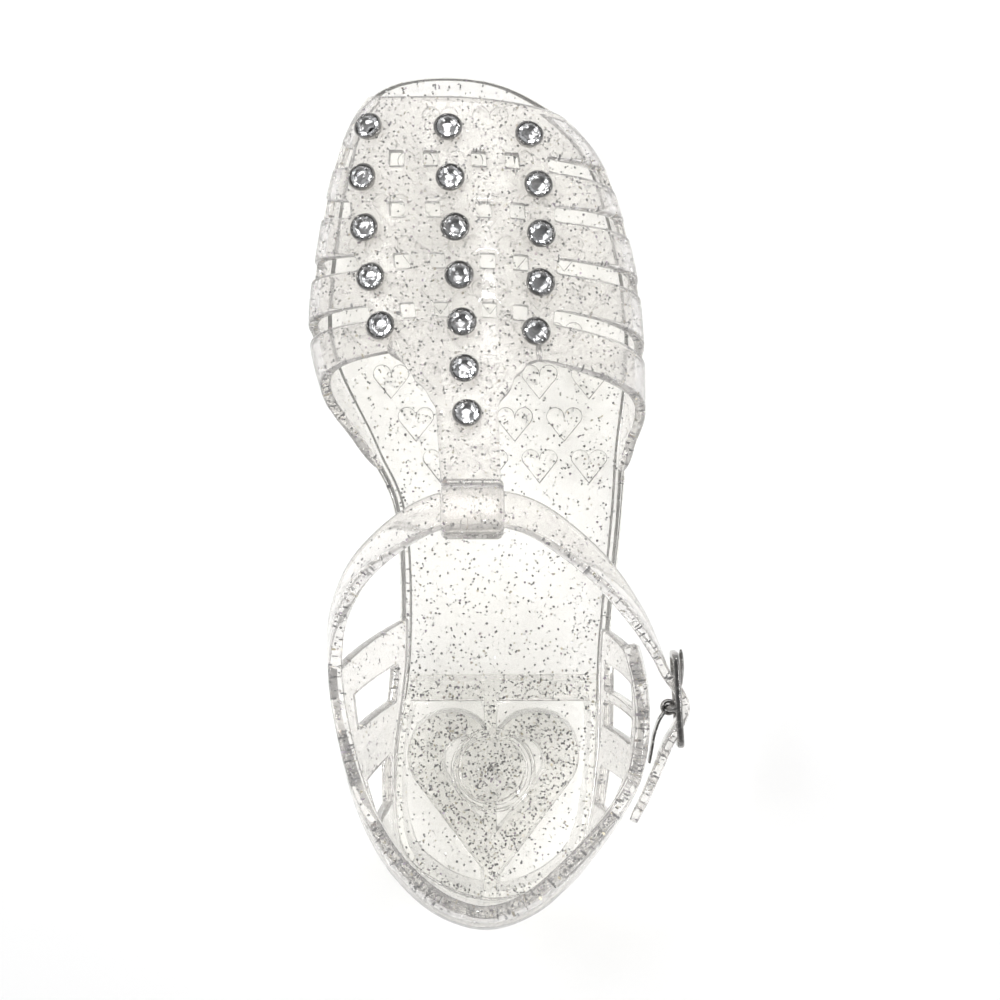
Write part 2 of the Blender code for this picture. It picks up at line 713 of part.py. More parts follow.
def band_frames(rows):
    """Position, inward lean and thickness direction along the collar and strap."""
    samples = [Band(*row) for row in spline(rows, BAND_STEPS)]
    frames = []
    for index, sample in enumerate(samples):
        before = samples[max(index - 1, 0)]
        after = samples[min(index + 1, len(samples) - 1)]
        along = Vector((after.x - before.x, after.y - before.y, after.z - before.z)).normalized()
        inward = Vector((along.y, -along.x, 0.0)).normalized()
        tilt = math.radians(sample.tilt)
        across = Vector((0.0, 0.0, math.cos(tilt))) + inward * math.sin(tilt)
        across = (across - along * across.dot(along)).normalized()
        frames.append((sample, Vector((sample.x, sample.y, sample.z)), across, across.cross(along)))
    return frames


BAND_FRAMES = band_frames(COLLAR + STRAP)


def loft(rings):
    """Closed body through rings of points, with flat ends."""
    mesh = bmesh.new()
    loops = [[mesh.verts.new(point) for point in ring] for ring in rings]
    count = len(loops[0])
    for lower, upper in zip(loops, loops[1:]):
        for index in range(count):
            following = (index + 1) % count
            mesh.faces.new((lower[index], lower[following], upper[following], upper[index]))
    mesh.faces.new(loops[0][::-1])
    mesh.faces.new(loops[-1])
    bmesh.ops.recalc_face_normals(mesh, faces=mesh.faces[:])
    return mesh


def band_mesh():
    """The collar and the ankle strap as one long band of changing width and tilt."""
    rings = []
    for sample, centre, across, outward in BAND_FRAMES:
        half_width = across * sample.width / 2
        half_wall = outward * sample.thickness / 2
        rings.append([
            centre - half_width - half_wall,
            centre - half_width + half_wall,
            centre + half_width + half_wall,
            centre + half_width - half_wall,
        ])
    return loft(rings)


def path_share(points, share):
    """Point at a share of a polyline's length."""
    lengths = [(b - a).length for a, b in zip(points, points[1:])]
    target = share * sum(lengths)
    for start, end, length in zip(points, points[1:], lengths):
        if target <= length:
            return start.lerp(end, target / length)
        target -= length
    return points[-1].copy()


def share_of(points, side, y):
    """Share of a polyline's length where it passes a y on one side of the foot."""
    lengths = [(b - a).length for a, b in zip(points, points[1:])]
    walked = 0.0
    for start, end, length in zip(points, points[1:], lengths):
        low, high = sorted((start.y, end.y))
        if low <= y <= high and start.x * side > 0:
            return (walked + length * (start.y - y) / (start.y - end.y)) / sum(lengths)
        walked += length
    raise ValueError("the path doesn't pass y = %.4f" % y)


def counter_base():
    """The counter's foot on the sole's rim, from the outer side round the heel."""
    loop = [Vector((x, y, 0.0)) for x, y in inset(SOLE_LOOP, COUNTER_INSET)]
    lateral = [p for p in reversed(loop[HALF:]) if p.y < COUNTER_BASE_LATERAL_Y]
    medial = [p for p in reversed(loop[:HALF]) if p.y < COUNTER_BASE_MEDIAL_Y]
    start = Vector((edge_x(LATERAL, COUNTER_BASE_LATERAL_Y) - COUNTER_INSET, COUNTER_BASE_LATERAL_Y, 0.0))
    end = Vector((edge_x(MEDIAL, COUNTER_BASE_MEDIAL_Y) + COUNTER_INSET, COUNTER_BASE_MEDIAL_Y, 0.0))
    return [start] + lateral + medial + [end]


def counter_top():
    """The line inside the collar's lower edge that the counter runs up to."""
    points = []
    for sample, centre, across, outward in BAND_FRAMES[: BAND_STEPS * (len(COLLAR) + 1)]:
        in_reach = centre.y < (COUNTER_TOP_LATERAL_Y if centre.x > 0 else COUNTER_TOP_MEDIAL_Y)
        if in_reach:
            drop = across * (sample.width / 2 - COUNTER_TUCK)
            points.append(centre - drop + outward * COUNTER_WALL / 2)
    return points


def counter_shell(cutters):
    """Heel counter with its windows, as a wall between the rim and the collar."""
    base, top = counter_base(), counter_top()
    shares = {step / COUNTER_STEPS for step in range(COUNTER_STEPS + 1)}
    spans = []
    for window in WINDOWS:
        ends = sorted(share_of(base, window.side, y) for y in (window.front, window.rear))
        spans.append(ends)
        near = 0.6 / COUNTER_STEPS
        shares = {share for share in shares if min(abs(share - end) for end in ends) > near}
        shares.update(ends)
    shares = sorted(shares)
    heights = [0.0, WINDOW_LOW, WINDOW_MIDDLE, WINDOW_HIGH, 1.0]
    grid = []
    for height in heights:
        row = []
        for share in shares:
            foot = path_share(base, share)
            foot.z = rim_top(foot.y) + GAP
            head = path_share(top, share)
            out = Vector((head.x, head.y - 0.01, 0.0)).normalized()
            row.append(foot.lerp(head, height) + out * COUNTER_BULGE * math.sin(math.pi * height))
        grid.append(row)
    open_cells = set()
    for start, end in spans:
        for column, share in enumerate(shares):
            if start <= share < end:
                open_cells.update({(1, column), (2, column)})
    return grid_shell("counter", grid, open_cells, COUNTER_WALL, cutters)


def strap_holes(cutters):
    """Holes in the strap: the one that the prong is in, and spare ones along the tail."""
    middle = BUCKLE_CENTRE[2]
    mesh = box(
        (0.0400, PRONG_HOLE_Y - PRONG_HOLE_LENGTH / 2, middle - PRONG_HOLE_HEIGHT / 2),
        (0.0500, PRONG_HOLE_Y + PRONG_HOLE_LENGTH / 2, middle + PRONG_HOLE_HEIGHT / 2),
    )
    for hole in range(SPARE_HOLES):
        x, y, z = SPARE_HOLE_FIRST
        place = Matrix.Translation((x, y - hole * SPARE_HOLE_PITCH, z))
        place = place @ Matrix.Rotation(math.pi / 2, 4, "Y")
        bmesh.ops.create_cone(
            mesh, cap_ends=True, segments=8, radius1=SPARE_HOLE_RADIUS, radius2=SPARE_HOLE_RADIUS,
            depth=0.012, matrix=place,
        )
    return new_cutter("strap_holes", mesh, cutters)


def build_rear_upper(pieces, cutters):
    rear = new_object("rear_upper", band_mesh(), pieces)
    counter = counter_shell(cutters)
    bake(counter)
    seat_on_rim(counter)
    counter.hide_render = True
    counter.display_type = "WIRE"
    boolean(rear, counter, "UNION")
    boolean(rear, strap_holes(cutters), "DIFFERENCE")
    bake(rear)
    finish_piece(rear, "pvc")


def tube(name, points, radius, collection):
    """Round wire along points, as a closed mesh object."""
    curve = bpy.data.curves.new(name, "CURVE")
    curve.dimensions = "3D"
    curve.bevel_depth = radius
    curve.bevel_resolution = 2
    curve.use_fill_caps = True
    line = curve.splines.new("POLY")
    line.points.add(len(points) - 1)
    for point, place in zip(line.points, points):
        point.co = (*place, 1.0)
    wire = bpy.data.objects.new(name + "_wire", curve)
    collection.objects.link(wire)
    graph = bpy.context.evaluated_depsgraph_get()
    data = bpy.data.meshes.new_from_object(wire.evaluated_get(graph))
    mesh = bmesh.new()
    mesh.from_mesh(data)
    bpy.data.objects.remove(wire, do_unlink=True)
    bmesh.ops.remove_doubles(mesh, verts=mesh.verts[:], dist=1e-6)
    bmesh.ops.recalc_face_normals(mesh, faces=mesh.faces[:])
    return new_object(name, mesh, collection)


def build_buckle_frame(pieces, cutters):
    """Flat frame with one window, and the centre bar cranked in behind it."""
    half_length, half_height = BUCKLE_LENGTH / 2, BUCKLE_HEIGHT / 2
    inner = half_length - BUCKLE_RAIL
    ends = [-half_length, -inner, -BUCKLE_WAIST, BUCKLE_WAIST, inner, half_length]
    sides = [-half_height, -half_height + BUCKLE_RAIL, half_height - BUCKLE_RAIL, half_height]
    grid = []
    for row, along in enumerate(ends):
        points = []
        for column, up in enumerate(sides):
            corner = row in (0, len(ends) - 1) and column in (0, len(sides) - 1)
            trim = BUCKLE_CORNER / 2 if corner else 0.0
            points.append(Vector((
                BUCKLE_THICKNESS / 2,
                along - math.copysign(trim, along),
                up - math.copysign(trim, up),
            )))
        grid.append(points)
    window = {(row, 1) for row in range(1, len(ends) - 2)}
    frame = grid_shell("buckle_frame", grid, window, BUCKLE_THICKNESS, pieces)
    turn = Matrix.Translation(BUCKLE_CENTRE) @ Matrix.Rotation(BUCKLE_TURN, 4, "Z")
    frame.data.transform(turn)
    rail_x = BUCKLE_CENTRE[0] - (BAR_Y - BUCKLE_CENTRE[1]) * math.tan(BUCKLE_TURN)
    reach = half_height - BUCKLE_RAIL / 2
    middle = BUCKLE_CENTRE[2]
    route = [
        (rail_x, BAR_Y, middle - reach), (BAR_X, BAR_Y, middle - BAR_STRAIGHT),
        (BAR_X, BAR_Y, middle + BAR_STRAIGHT), (rail_x, BAR_Y, middle + reach),
    ]
    bar = tube("centre_bar", route, BAR_RADIUS, cutters)
    bar.hide_render = True
    bar.display_type = "WIRE"
    boolean(frame, bar, "UNION")
    bake(frame)
    finish_piece(frame, "metal")


def loop_points(radius, start_deg, end_deg, steps):
    """Points round the centre bar, in plan."""
    points = []
    for step in range(steps + 1):
        turn = math.radians(start_deg + (end_deg - start_deg) * step / steps)
        points.append((BAR_X + radius * math.cos(turn), BAR_Y + radius * math.sin(turn)))
    return points


def build_buckle_anchor(pieces):
    """Leaf that loops round the centre bar and lies on the collar, notched for the prong."""
    route = loop_points(LEAF_LOOP_RADIUS, 225.0, -60.0, 10)
    route = [(0.0405, 0.0150)] + route
    route = [(0.0381, 0.0048), (0.0388, 0.0085), (0.0393, 0.0115)] + route
    middle = BUCKLE_CENTRE[2]
    heights = [-LEAF_HEIGHT / 2, -LEAF_NOTCH / 2, LEAF_NOTCH / 2, LEAF_HEIGHT / 2]
    grid = [[Vector((x, y, middle + height)) for x, y in route] for height in heights]
    notch = {(1, column) for column in range(3, len(route) - 1)}
    leaf = grid_shell("buckle_anchor", grid, notch, LEAF_THICKNESS, pieces)
    leaf.modifiers["Wall"].offset = 0.0
    bake(leaf)
    finish_piece(leaf, "metal")


def build_buckle_prong(pieces):
    """Prong: an open loop on the centre bar, out through the strap and on to the front rail."""
    route = loop_points(PRONG_LOOP_RADIUS, 40.0, 330.0, 12)
    route = route[::-1]
    route += [(0.0446, 0.0208), (0.0456, 0.0235), (0.0460, 0.0275), (0.0457, 0.0318)]
    middle = BUCKLE_CENTRE[2]
    prong = tube("buckle_prong", [(x, y, middle) for x, y in route], PRONG_RADIUS, pieces)
    finish_piece(prong, "metal")


def stone_places():
    """Centre and outward normal of every stone, from toe to ankle."""
    places = []
    for crown_y in STONE_ROWS:
        for side, front_deg, rear_deg, shift in STONE_BARS:
            line = stone_line(crown_y)
            line = line._replace(
                crown_y=line.crown_y + shift,
                medial_y=line.medial_y + shift,
                lateral_y=line.lateral_y + shift,
            )
            column = Column("stone", side, front_deg, rear_deg, 0.0)
            places.append(surface_frame(column, line))
        places.append(surface_frame(COLUMNS[column_index("ridge")], stone_line(crown_y)))
    for crown_y in TBAR_STONE_ROWS:
        x, z = ridge_point(crown_y)
        ahead = Vector((ridge_point(crown_y + 0.002)[0], crown_y + 0.002, ridge_point(crown_y + 0.002)[1]))
        along = (ahead - Vector((x, crown_y, z))).normalized()
        places.append((Vector((x, crown_y, z)), Vector((1.0, 0.0, 0.0)).cross(along).normalized()))
    return places


def stone_line(crown_y):
    """Cross line through the middle of a strap, between the openings before and behind it."""
    lines = CAGE_LINES + [Line(REAR_LINE_Y, 0.0735, 0.0735, 0.0, 0.0, 0.0)]
    for front, rear in zip(lines, lines[1:]):
        if rear.crown_y <= crown_y <= front.crown_y:
            return between(front, rear, (front.crown_y - crown_y) / (front.crown_y - rear.crown_y))
    raise ValueError("no strap at y = %.4f" % crown_y)


def surface_frame(column, line):
    """Point on the cage and its outward normal, from two nearby points each way."""
    step = math.degrees(0.02)
    here = cage_point(column, line)
    wider = column._replace(front_deg=column.front_deg - step, rear_deg=column.rear_deg - step)
    ahead = line._replace(
        crown_y=line.crown_y + 0.001, medial_y=line.medial_y + 0.001, lateral_y=line.lateral_y + 0.001
    )
    outwards = cage_point(wider, line) - here
    forwards = cage_point(column, ahead) - here
    normal = forwards.cross(outwards) * -column.side
    return here, normal.normalized()


def cup_mesh():
    """Turned cup with a conical seat for the stone, its foot at z = 0."""
    mesh = bmesh.new()
    bmesh.ops.create_cone(
        mesh, cap_ends=True, segments=CUP_SIDES, radius1=CUP_RADIUS * 0.86, radius2=CUP_RADIUS,
        depth=CUP_HEIGHT,
    )
    bmesh.ops.translate(mesh, vec=(0.0, 0.0, CUP_HEIGHT / 2), verts=mesh.verts)
    top = max(mesh.faces, key=lambda face: face.calc_center_median().z)
    bmesh.ops.inset_region(mesh, faces=[top], thickness=CUP_LIP)
    sunk = bmesh.ops.extrude_face_region(mesh, geom=[top])
    verts = [part for part in sunk["geom"] if isinstance(part, bmesh.types.BMVert)]
    bmesh.ops.delete(mesh, geom=[top], context="FACES_ONLY")
    bmesh.ops.translate(mesh, vec=(0.0, 0.0, CUP_FLOOR - CUP_HEIGHT), verts=verts)
    taper = CUP_FLOOR_RADIUS / (CUP_RADIUS - CUP_LIP)
    bmesh.ops.scale(mesh, vec=(taper, taper, 1.0), verts=verts)
    bmesh.ops.recalc_face_normals(mesh, faces=mesh.faces[:])
    return mesh


def stone_mesh():
    """Faceted stone: a flat table, a bevelled crown and a blunt lower part."""
    profile = [
        (STONE_RADIUS * 0.55, 0.0), (STONE_RADIUS, STONE_DEPTH),
        (STONE_TABLE_RADIUS, STONE_DEPTH + STONE_CROWN),
    ]
    rings = []
    for level, (radius, height) in enumerate(profile):
        offset = 0.5 if level == 1 else 0.0
        turns = [math.tau * (step + offset) / STONE_SIDES for step in range(STONE_SIDES)]
        rings.append([(radius * math.cos(t), radius * math.sin(t), height) for t in turns])
    mesh = bmesh.new()
    for ring in rings:
        for point in ring:
            mesh.verts.new(point)
    bmesh.ops.convex_hull(mesh, input=mesh.verts[:])
    bmesh.ops.recalc_face_normals(mesh, faces=mesh.faces[:])
    return mesh


def build_stones(pieces):
    for number, (place, normal) in enumerate(stone_places(), start=1):
        turn = normal.to_track_quat("Z", "Y").to_matrix().to_4x4()
        cup = new_object("stone_cup_%02d" % number, cup_mesh(), pieces)
        cup.matrix_world = Matrix.Translation(place + normal * CUP_SEAT) @ turn
        finish_piece(cup, "metal")
        seat = CUP_SEAT + CUP_FLOOR + GAP
        stone = new_object("stone_%02d" % number, stone_mesh(), pieces)
        stone.matrix_world = Matrix.Translation(place + normal * seat) @ turn
        finish_piece(stone, "glass")


def main():
    clear_scene()
    pieces = new_collection("jelly_sandal")
    cutters = new_collection("cutters")
    build_sole(pieces, cutters)
    build_front_upper(pieces, cutters)
    build_rear_upper(pieces, cutters)
    build_buckle_frame(pieces, cutters)
    build_buckle_anchor(pieces)
    build_buckle_prong(pieces)
    build_stones(pieces)


main()
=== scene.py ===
"""Dressed model of a child's clear jelly sandal for the right foot.

Metres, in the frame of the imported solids: +Z is up, +Y points to the toe and +X to the outer side of
the foot, with the origin on the floor under the middle of the heel.
"""
import math
from collections import namedtuple

import bmesh
import bpy
import numpy as np
from bpy.props import FloatProperty, FloatVectorProperty, IntProperty, PointerProperty
from mathutils import Matrix, Vector
from mathutils.bvhtree import BVHTree


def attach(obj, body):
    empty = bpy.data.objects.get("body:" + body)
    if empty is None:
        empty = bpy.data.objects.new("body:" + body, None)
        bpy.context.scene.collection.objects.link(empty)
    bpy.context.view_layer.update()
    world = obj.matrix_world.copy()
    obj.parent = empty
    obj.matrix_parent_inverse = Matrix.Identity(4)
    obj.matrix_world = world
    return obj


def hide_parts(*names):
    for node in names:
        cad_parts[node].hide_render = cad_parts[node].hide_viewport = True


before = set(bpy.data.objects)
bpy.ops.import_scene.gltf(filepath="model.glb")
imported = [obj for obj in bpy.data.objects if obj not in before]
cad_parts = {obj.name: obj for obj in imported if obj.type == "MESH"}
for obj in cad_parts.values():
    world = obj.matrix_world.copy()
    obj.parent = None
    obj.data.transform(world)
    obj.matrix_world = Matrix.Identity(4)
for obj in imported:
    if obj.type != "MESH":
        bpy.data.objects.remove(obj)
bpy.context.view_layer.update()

bl_info = {
    "name": "Clear jelly sandal",
    "version": (1, 0, 0),
    "blender": (4, 5, 0),
    "location": "View3D > Sidebar > Sandal",
    "description": "Models the moulded, glitter-filled sandal over its packed solids",
    "category": "Add Mesh",
}

BODY = "root"
MEDIAL = -1
LATERAL = 1

# Sole outline: half sections from toe to heel, and the two tips
Outline = namedtuple("Outline", "y medial lateral")
TOE_TIP = (-0.0110, 0.1733)
HEEL_TIP = (0.0005, -0.0343)
OUTLINE = [
    Outline(0.1696, -0.0282, 0.0075),
    Outline(0.1557, -0.0366, 0.0252),
    Outline(0.1305, -0.0413, 0.0340),
    Outline(0.1053, -0.0419, 0.0368),
    Outline(0.0801, -0.0308, 0.0343),
    Outline(0.0625, -0.0237, 0.0330),
    Outline(0.0300, -0.0225, 0.0297),
    Outline(0.0027, -0.0259, 0.0289),
    Outline(-0.0195, -0.0244, 0.0254),
    Outline(-0.0300, -0.0140, 0.0160),
]

# Side view of the sole: the top of its rim, and its underside without lugs
Rim = namedtuple("Rim", "y z")
RIM = [
    Rim(-0.0350, 0.0192),
    Rim(-0.0290, 0.0188),
    Rim(-0.0050, 0.0182),
    Rim(0.0222, 0.0178),
    Rim(0.0400, 0.0156),
    Rim(0.0580, 0.0122),
    Rim(0.0740, 0.0094),
    Rim(0.0860, 0.0082),
    Rim(0.1340, 0.0080),
    Rim(0.1480, 0.0088),
    Rim(0.1610, 0.0102),
    Rim(0.1740, 0.0122),
]
HEEL_BREAST = 0.0222
HEEL_UNDERSIDE = [
    Rim(-0.0350, 0.0012),
    Rim(-0.0320, 0.0003),
    Rim(-0.0290, 0.0000),
    Rim(HEEL_BREAST - 0.0006, 0.0000),
    Rim(HEEL_BREAST, 0.0003),
    Rim(HEEL_BREAST + 0.0004, 0.0012),
    Rim(HEEL_BREAST + 0.0009, 0.0078),
    Rim(HEEL_BREAST + 0.0016, 0.0091),
]
FORE_UNDERSIDE = [
    Rim(HEEL_BREAST + 0.0028, 0.0093),
    Rim(0.0400, 0.0078),
    Rim(0.0580, 0.0048),
    Rim(0.0740, 0.0024),
    Rim(0.0860, 0.0018),
    Rim(0.1340, 0.0018),
    Rim(0.1480, 0.0026),
    Rim(0.1610, 0.0043),
    Rim(0.1740, 0.0068),
]
SOLE_DRAFT = 0.035
# Where the sole's side ends below its rim, and the radius of the rim's lip, both in sole roundings
SIDE_TOP = 2.4
LIP_SHARE = 0.7
RIM_WIDTH = 0.0028
RIM_HEIGHT = 0.0010

# Cored heel
HEEL_WALL = 0.0040
HEEL_BREAST_WALL = 0.0048
HEEL_SEAT = 0.0042
HEEL_SPINE = 0.0030
HEEL_DISC_RADIUS = 0.0085
HEEL_HEART_X = 0.0008
HEEL_HEART_TIP = -0.0285
HEEL_HEART_WIDTH = 0.0430
HEEL_HEART_LENGTH = 0.0430
HEEL_HOLLOW_TIP = -0.0165
HEEL_HOLLOW_WIDTH = 0.0260
HEEL_HOLLOW_LENGTH = 0.0250
INSOLE_RINGS_CENTRE = (0.0008, 0.0004)
INSOLE_RING_RADII = (0.0100, 0.0082)
INSOLE_GROOVE_RADIUS = 0.0006
INSOLE_GROOVE_RISE = 0.0001
SLICES = 60
SLICES_START = -0.034
SLICES_LENGTH = 0.207

# Heart lugs under the forefoot, in staggered rows
LUG_HEIGHT = 0.0018
LUG_WIDTH = 0.0092
LUG_LENGTH = 0.0088
LUG_PITCH_X = 0.0126
LUG_PITCH_Y = 0.0108
LUG_FIRST_ROW = 0.0757
LUG_ROWS = 9
LUG_MARGIN = 0.0018

# Ridge line of the cage and the T-bar, from toe to ankle
Crown = namedtuple("Crown", "y x z")
CROWN = [
    Crown(0.1680, -0.0110, 0.0200),
    Crown(0.1586, -0.0103, 0.0245),
    Crown(0.1458, -0.0097, 0.0292),
    Crown(0.1335, -0.0085, 0.0325),
    Crown(0.1216, -0.0074, 0.0356),
    Crown(0.1100, -0.0067, 0.0388),
    Crown(0.0985, -0.0061, 0.0428),
    Crown(0.0875, -0.0054, 0.0478),
    Crown(0.0780, -0.0049, 0.0536),
    Crown(0.0700, -0.0046, 0.0590),
]

# Lines across the cage: its front edge and the middle of each row of holes
Line = namedtuple("Line", "crown_y medial_y lateral_y crown_gap medial_gap lateral_gap")
CAGE_LINES = [
    Line(0.1680, 0.1690, 0.1625, 0.0, 0.0, 0.0),
    Line(0.1517, 0.1540, 0.1451, 0.00175, 0.0036, 0.0024),
    Line(0.1388, 0.1405, 0.1334, 0.00175, 0.0028, 0.0024),
    Line(0.1261, 0.1225, 0.1174, 0.00175, 0.0027, 0.0024),
    Line(0.1140, 0.1035, 0.0990, 0.00175, 0.0026, 0.0024),
]
REAR_LINE_Y = 0.1030
REAR_SHARES = (0.2, 0.4, 0.6, 0.8, 0.93, 1.0)
REAR_SMOOTHING = 6
LARGEST_SPREAD = 5.0
HOLE_SUPPORT = 0.17
SLOT_SUPPORT = 0.07
# Support lines beside each opening, in its half gaps
HOLE_OUTSIDE = 1.36
HOLE_INSIDE = 0.62

# Lines along the cage: their angle round the arch at the front and rear edge (0 at the sole on the
# inner side, 90 on the ridge, 180 at the sole on the outer side), and where each meets the rear edge
Column = namedtuple("Column", "name front_deg rear_deg rear_y")
TBAR_ROOT_Y = 0.0885
COLUMNS = [
    Column("medial base", 0.0, 0.0, 0.0735),
    Column("medial foot", 5.0, 5.0, 0.0800),
    Column("medial slot low", 11.0, 11.0, 0.0860),
    Column("medial side low", 17.0, 23.0, 0.0930),
    Column("medial side high", 23.0, 37.0, 0.0985),
    Column("medial shoulder", 28.5, 52.0, 0.1021),
    Column("medial slot high", 33.0, 66.5, 0.1038),
    Column("medial bar", 48.0, 70.5, 0.1030),
    Column("medial hole 1", 62.2, 74.5, 0.0978),
    Column("medial hole 2", 69.8, 78.7, 0.0934),
    Column("medial bar edge", 75.5, 80.8, TBAR_ROOT_Y),
    Column("medial hole 3", 80.1, 84.1, TBAR_ROOT_Y),
    Column("medial hole 4", 86.2, 87.5, TBAR_ROOT_Y),
    Column("ridge", 90.0, 90.0, TBAR_ROOT_Y),
    Column("lateral hole 1", 95.8, 93.6, TBAR_ROOT_Y),
    Column("lateral hole 2", 100.5, 96.8, TBAR_ROOT_Y),
    Column("lateral hole 3", 107.7, 100.8, 0.0970),
    Column("lateral hole 4", 113.0, 104.5, 0.1002),
    Column("lateral bar", 119.5, 108.0, 0.1017),
    Column("lateral slot high", 126.0, 111.8, 0.1018),
    Column("lateral shoulder high", 134.0, 121.0, 0.0995),
    Column("lateral shoulder low", 142.0, 131.0, 0.0973),
    Column("lateral side high", 151.0, 144.0, 0.0943),
    Column("lateral side low", 161.0, 158.0, 0.0902),
    Column("lateral slot low", 170.0, 170.0, 0.0838),
    Column("lateral foot", 175.0, 175.0, 0.0788),
    Column("lateral base", 180.0, 180.0, 0.0735),
]
SLOTS = [("medial slot low", "medial slot high"), ("lateral slot high", "lateral slot low")]
HOLES = [
    ("medial hole 1", "medial hole 2"),
    ("medial hole 3", "medial hole 4"),
    ("lateral hole 1", "lateral hole 2"),
    ("lateral hole 3", "lateral hole 4"),
]
TBAR_EDGES = ("medial bar edge", "lateral hole 2")
REACH_POWER = 0.8
RISE_POWER = 0.9
SWEEP_POWER = {MEDIAL: 2.2, LATERAL: 1.6}
Bulge = namedtuple("Bulge", "y medial lateral")
BULGES = [
    Bulge(0.0735, 0.0108, 0.0092),
    Bulge(0.0850, 0.0104, 0.0090),
    Bulge(0.1050, 0.0074, 0.0060),
    Bulge(0.1300, 0.0056, 0.0050),
    Bulge(0.1650, 0.0020, 0.0020),
]
TBAR_X = -0.0043
TBAR_WIDTH = 0.0145
TBAR_END_Y = 0.0700
TBAR_CAMBER = 0.0003
TBAR_STEPS = 9
SLEEVE_CENTRE = (-0.0040, 0.0654, 0.0600)
SLEEVE_SIZE = (0.0148, 0.0132, 0.0080)
SLEEVE_SLOPE = math.radians(28.0)
SLOT_LENGTH = 0.0104
SLOT_THICKNESS = 0.0038
SLEEVE_ROUNDING = 0.0016
SLOT_ROUNDING = 0.0012
FOOT_DEPTH = 0.0002

# Middle line of the collar and the ankle strap, from the collar's free front end on the outer side,
# round the heel, through the sleeve and the buckle to the tail. The tilt leans the band inwards.
Band = namedtuple("Band", "x y z tilt width thickness")
COLLAR = [
    Band(0.0338, 0.0330, 0.0462, 6, 0.0086, 0.0034),
    Band(0.0358, 0.0250, 0.0468, 5, 0.0100, 0.0035),
    Band(0.0366, 0.0165, 0.0474, 4, 0.0100, 0.0035),
    Band(0.0361, 0.0085, 0.0480, 4, 0.0100, 0.0035),
    Band(0.0344, 0.0010, 0.0486, 5, 0.0100, 0.0035),
    Band(0.0308, -0.0058, 0.0492, 8, 0.0100, 0.0036),
    Band(0.0254, -0.0132, 0.0499, 12, 0.0100, 0.0038),
    Band(0.0186, -0.0208, 0.0506, 16, 0.0100, 0.0040),
    Band(0.0100, -0.0282, 0.0512, 20, 0.0100, 0.0042),
    Band(-0.0005, -0.0318, 0.0514, 22, 0.0100, 0.0042),
    Band(-0.0112, -0.0288, 0.0512, 20, 0.0100, 0.0042),
    Band(-0.0203, -0.0212, 0.0506, 16, 0.0100, 0.0040),
    Band(-0.0264, -0.0125, 0.0499, 12, 0.0100, 0.0038),
    Band(-0.0308, -0.0030, 0.0492, 8, 0.0100, 0.0036),
    Band(-0.0339, 0.0080, 0.0484, 5, 0.0100, 0.0035),
    Band(-0.0362, 0.0195, 0.0482, 4, 0.0100, 0.0035),
]
STRAP = [
    Band(-0.0370, 0.0300, 0.0488, 6, 0.0100, 0.0033),
    Band(-0.0358, 0.0405, 0.0508, 15, 0.0099, 0.0031),
    Band(-0.0306, 0.0512, 0.0540, 29, 0.0097, 0.0030),
    Band(-0.0208, 0.0602, 0.0574, 48, 0.0094, 0.0028),
    Band(-0.0118, 0.0648, 0.0598, 60, 0.0092, 0.0028),
    Band(-0.0040, 0.0654, 0.0600, 62, 0.0092, 0.0028),
    Band(0.0038, 0.0652, 0.0599, 61, 0.0092, 0.0028),
    Band(0.0125, 0.0620, 0.0582, 53, 0.0092, 0.0028),
    Band(0.0250, 0.0522, 0.0546, 37, 0.0093, 0.0027),
    Band(0.0345, 0.0405, 0.0508, 19, 0.0094, 0.0026),
    Band(0.0398, 0.0312, 0.0482, 6, 0.0094, 0.0024),
    Band(0.0420, 0.0262, 0.0473, 1, 0.0094, 0.0024),
    Band(0.0450, 0.0220, 0.0470, 0, 0.0094, 0.0024),
    Band(0.0465, 0.0180, 0.0470, 0, 0.0094, 0.0024),
    Band(0.0449, 0.0135, 0.0470, 0, 0.0094, 0.0024),
    Band(0.0426, 0.0095, 0.0470, 0, 0.0094, 0.0024),
    Band(0.0402, 0.0035, 0.0469, 2, 0.0094, 0.0024),
    Band(0.0372, -0.0035, 0.0467, 4, 0.0092, 0.0024),
    Band(0.0354, -0.0072, 0.0466, 5, 0.0080, 0.0023),
    Band(0.0344, -0.0094, 0.0465, 5, 0.0044, 0.0020),
]
BAND_STEPS = 6
# Corner radius as a share of half the band's thickness, and the size of its two ends
BAND_ROUNDNESS = 0.78
BAND_END_TRIM = 0.55

# Heel counter under the collar
COUNTER_WALL = 0.0026
COUNTER_INSET = 0.0003
COUNTER_BASE_LATERAL_Y = 0.0355
COUNTER_BASE_MEDIAL_Y = 0.0382
COUNTER_TOP_LATERAL_Y = 0.0290
COUNTER_TOP_MEDIAL_Y = 0.0280
COUNTER_TUCK = 0.0024
COUNTER_BULGE = 0.0012
COUNTER_STEPS = 52
WINDOW_SUPPORT = 0.0045
WINDOW_EDGE = 0.022
WINDOW_LOW = 0.14
WINDOW_HIGH = 0.76
Window = namedtuple("Window", "side front rear")
WINDOWS = [
    Window(LATERAL, 0.0275, 0.0215),
    Window(LATERAL, 0.0185, 0.0125),
    Window(LATERAL, 0.0020, -0.0070),
    Window(MEDIAL, 0.0280, 0.0195),
    Window(MEDIAL, 0.0055, -0.0055),
]

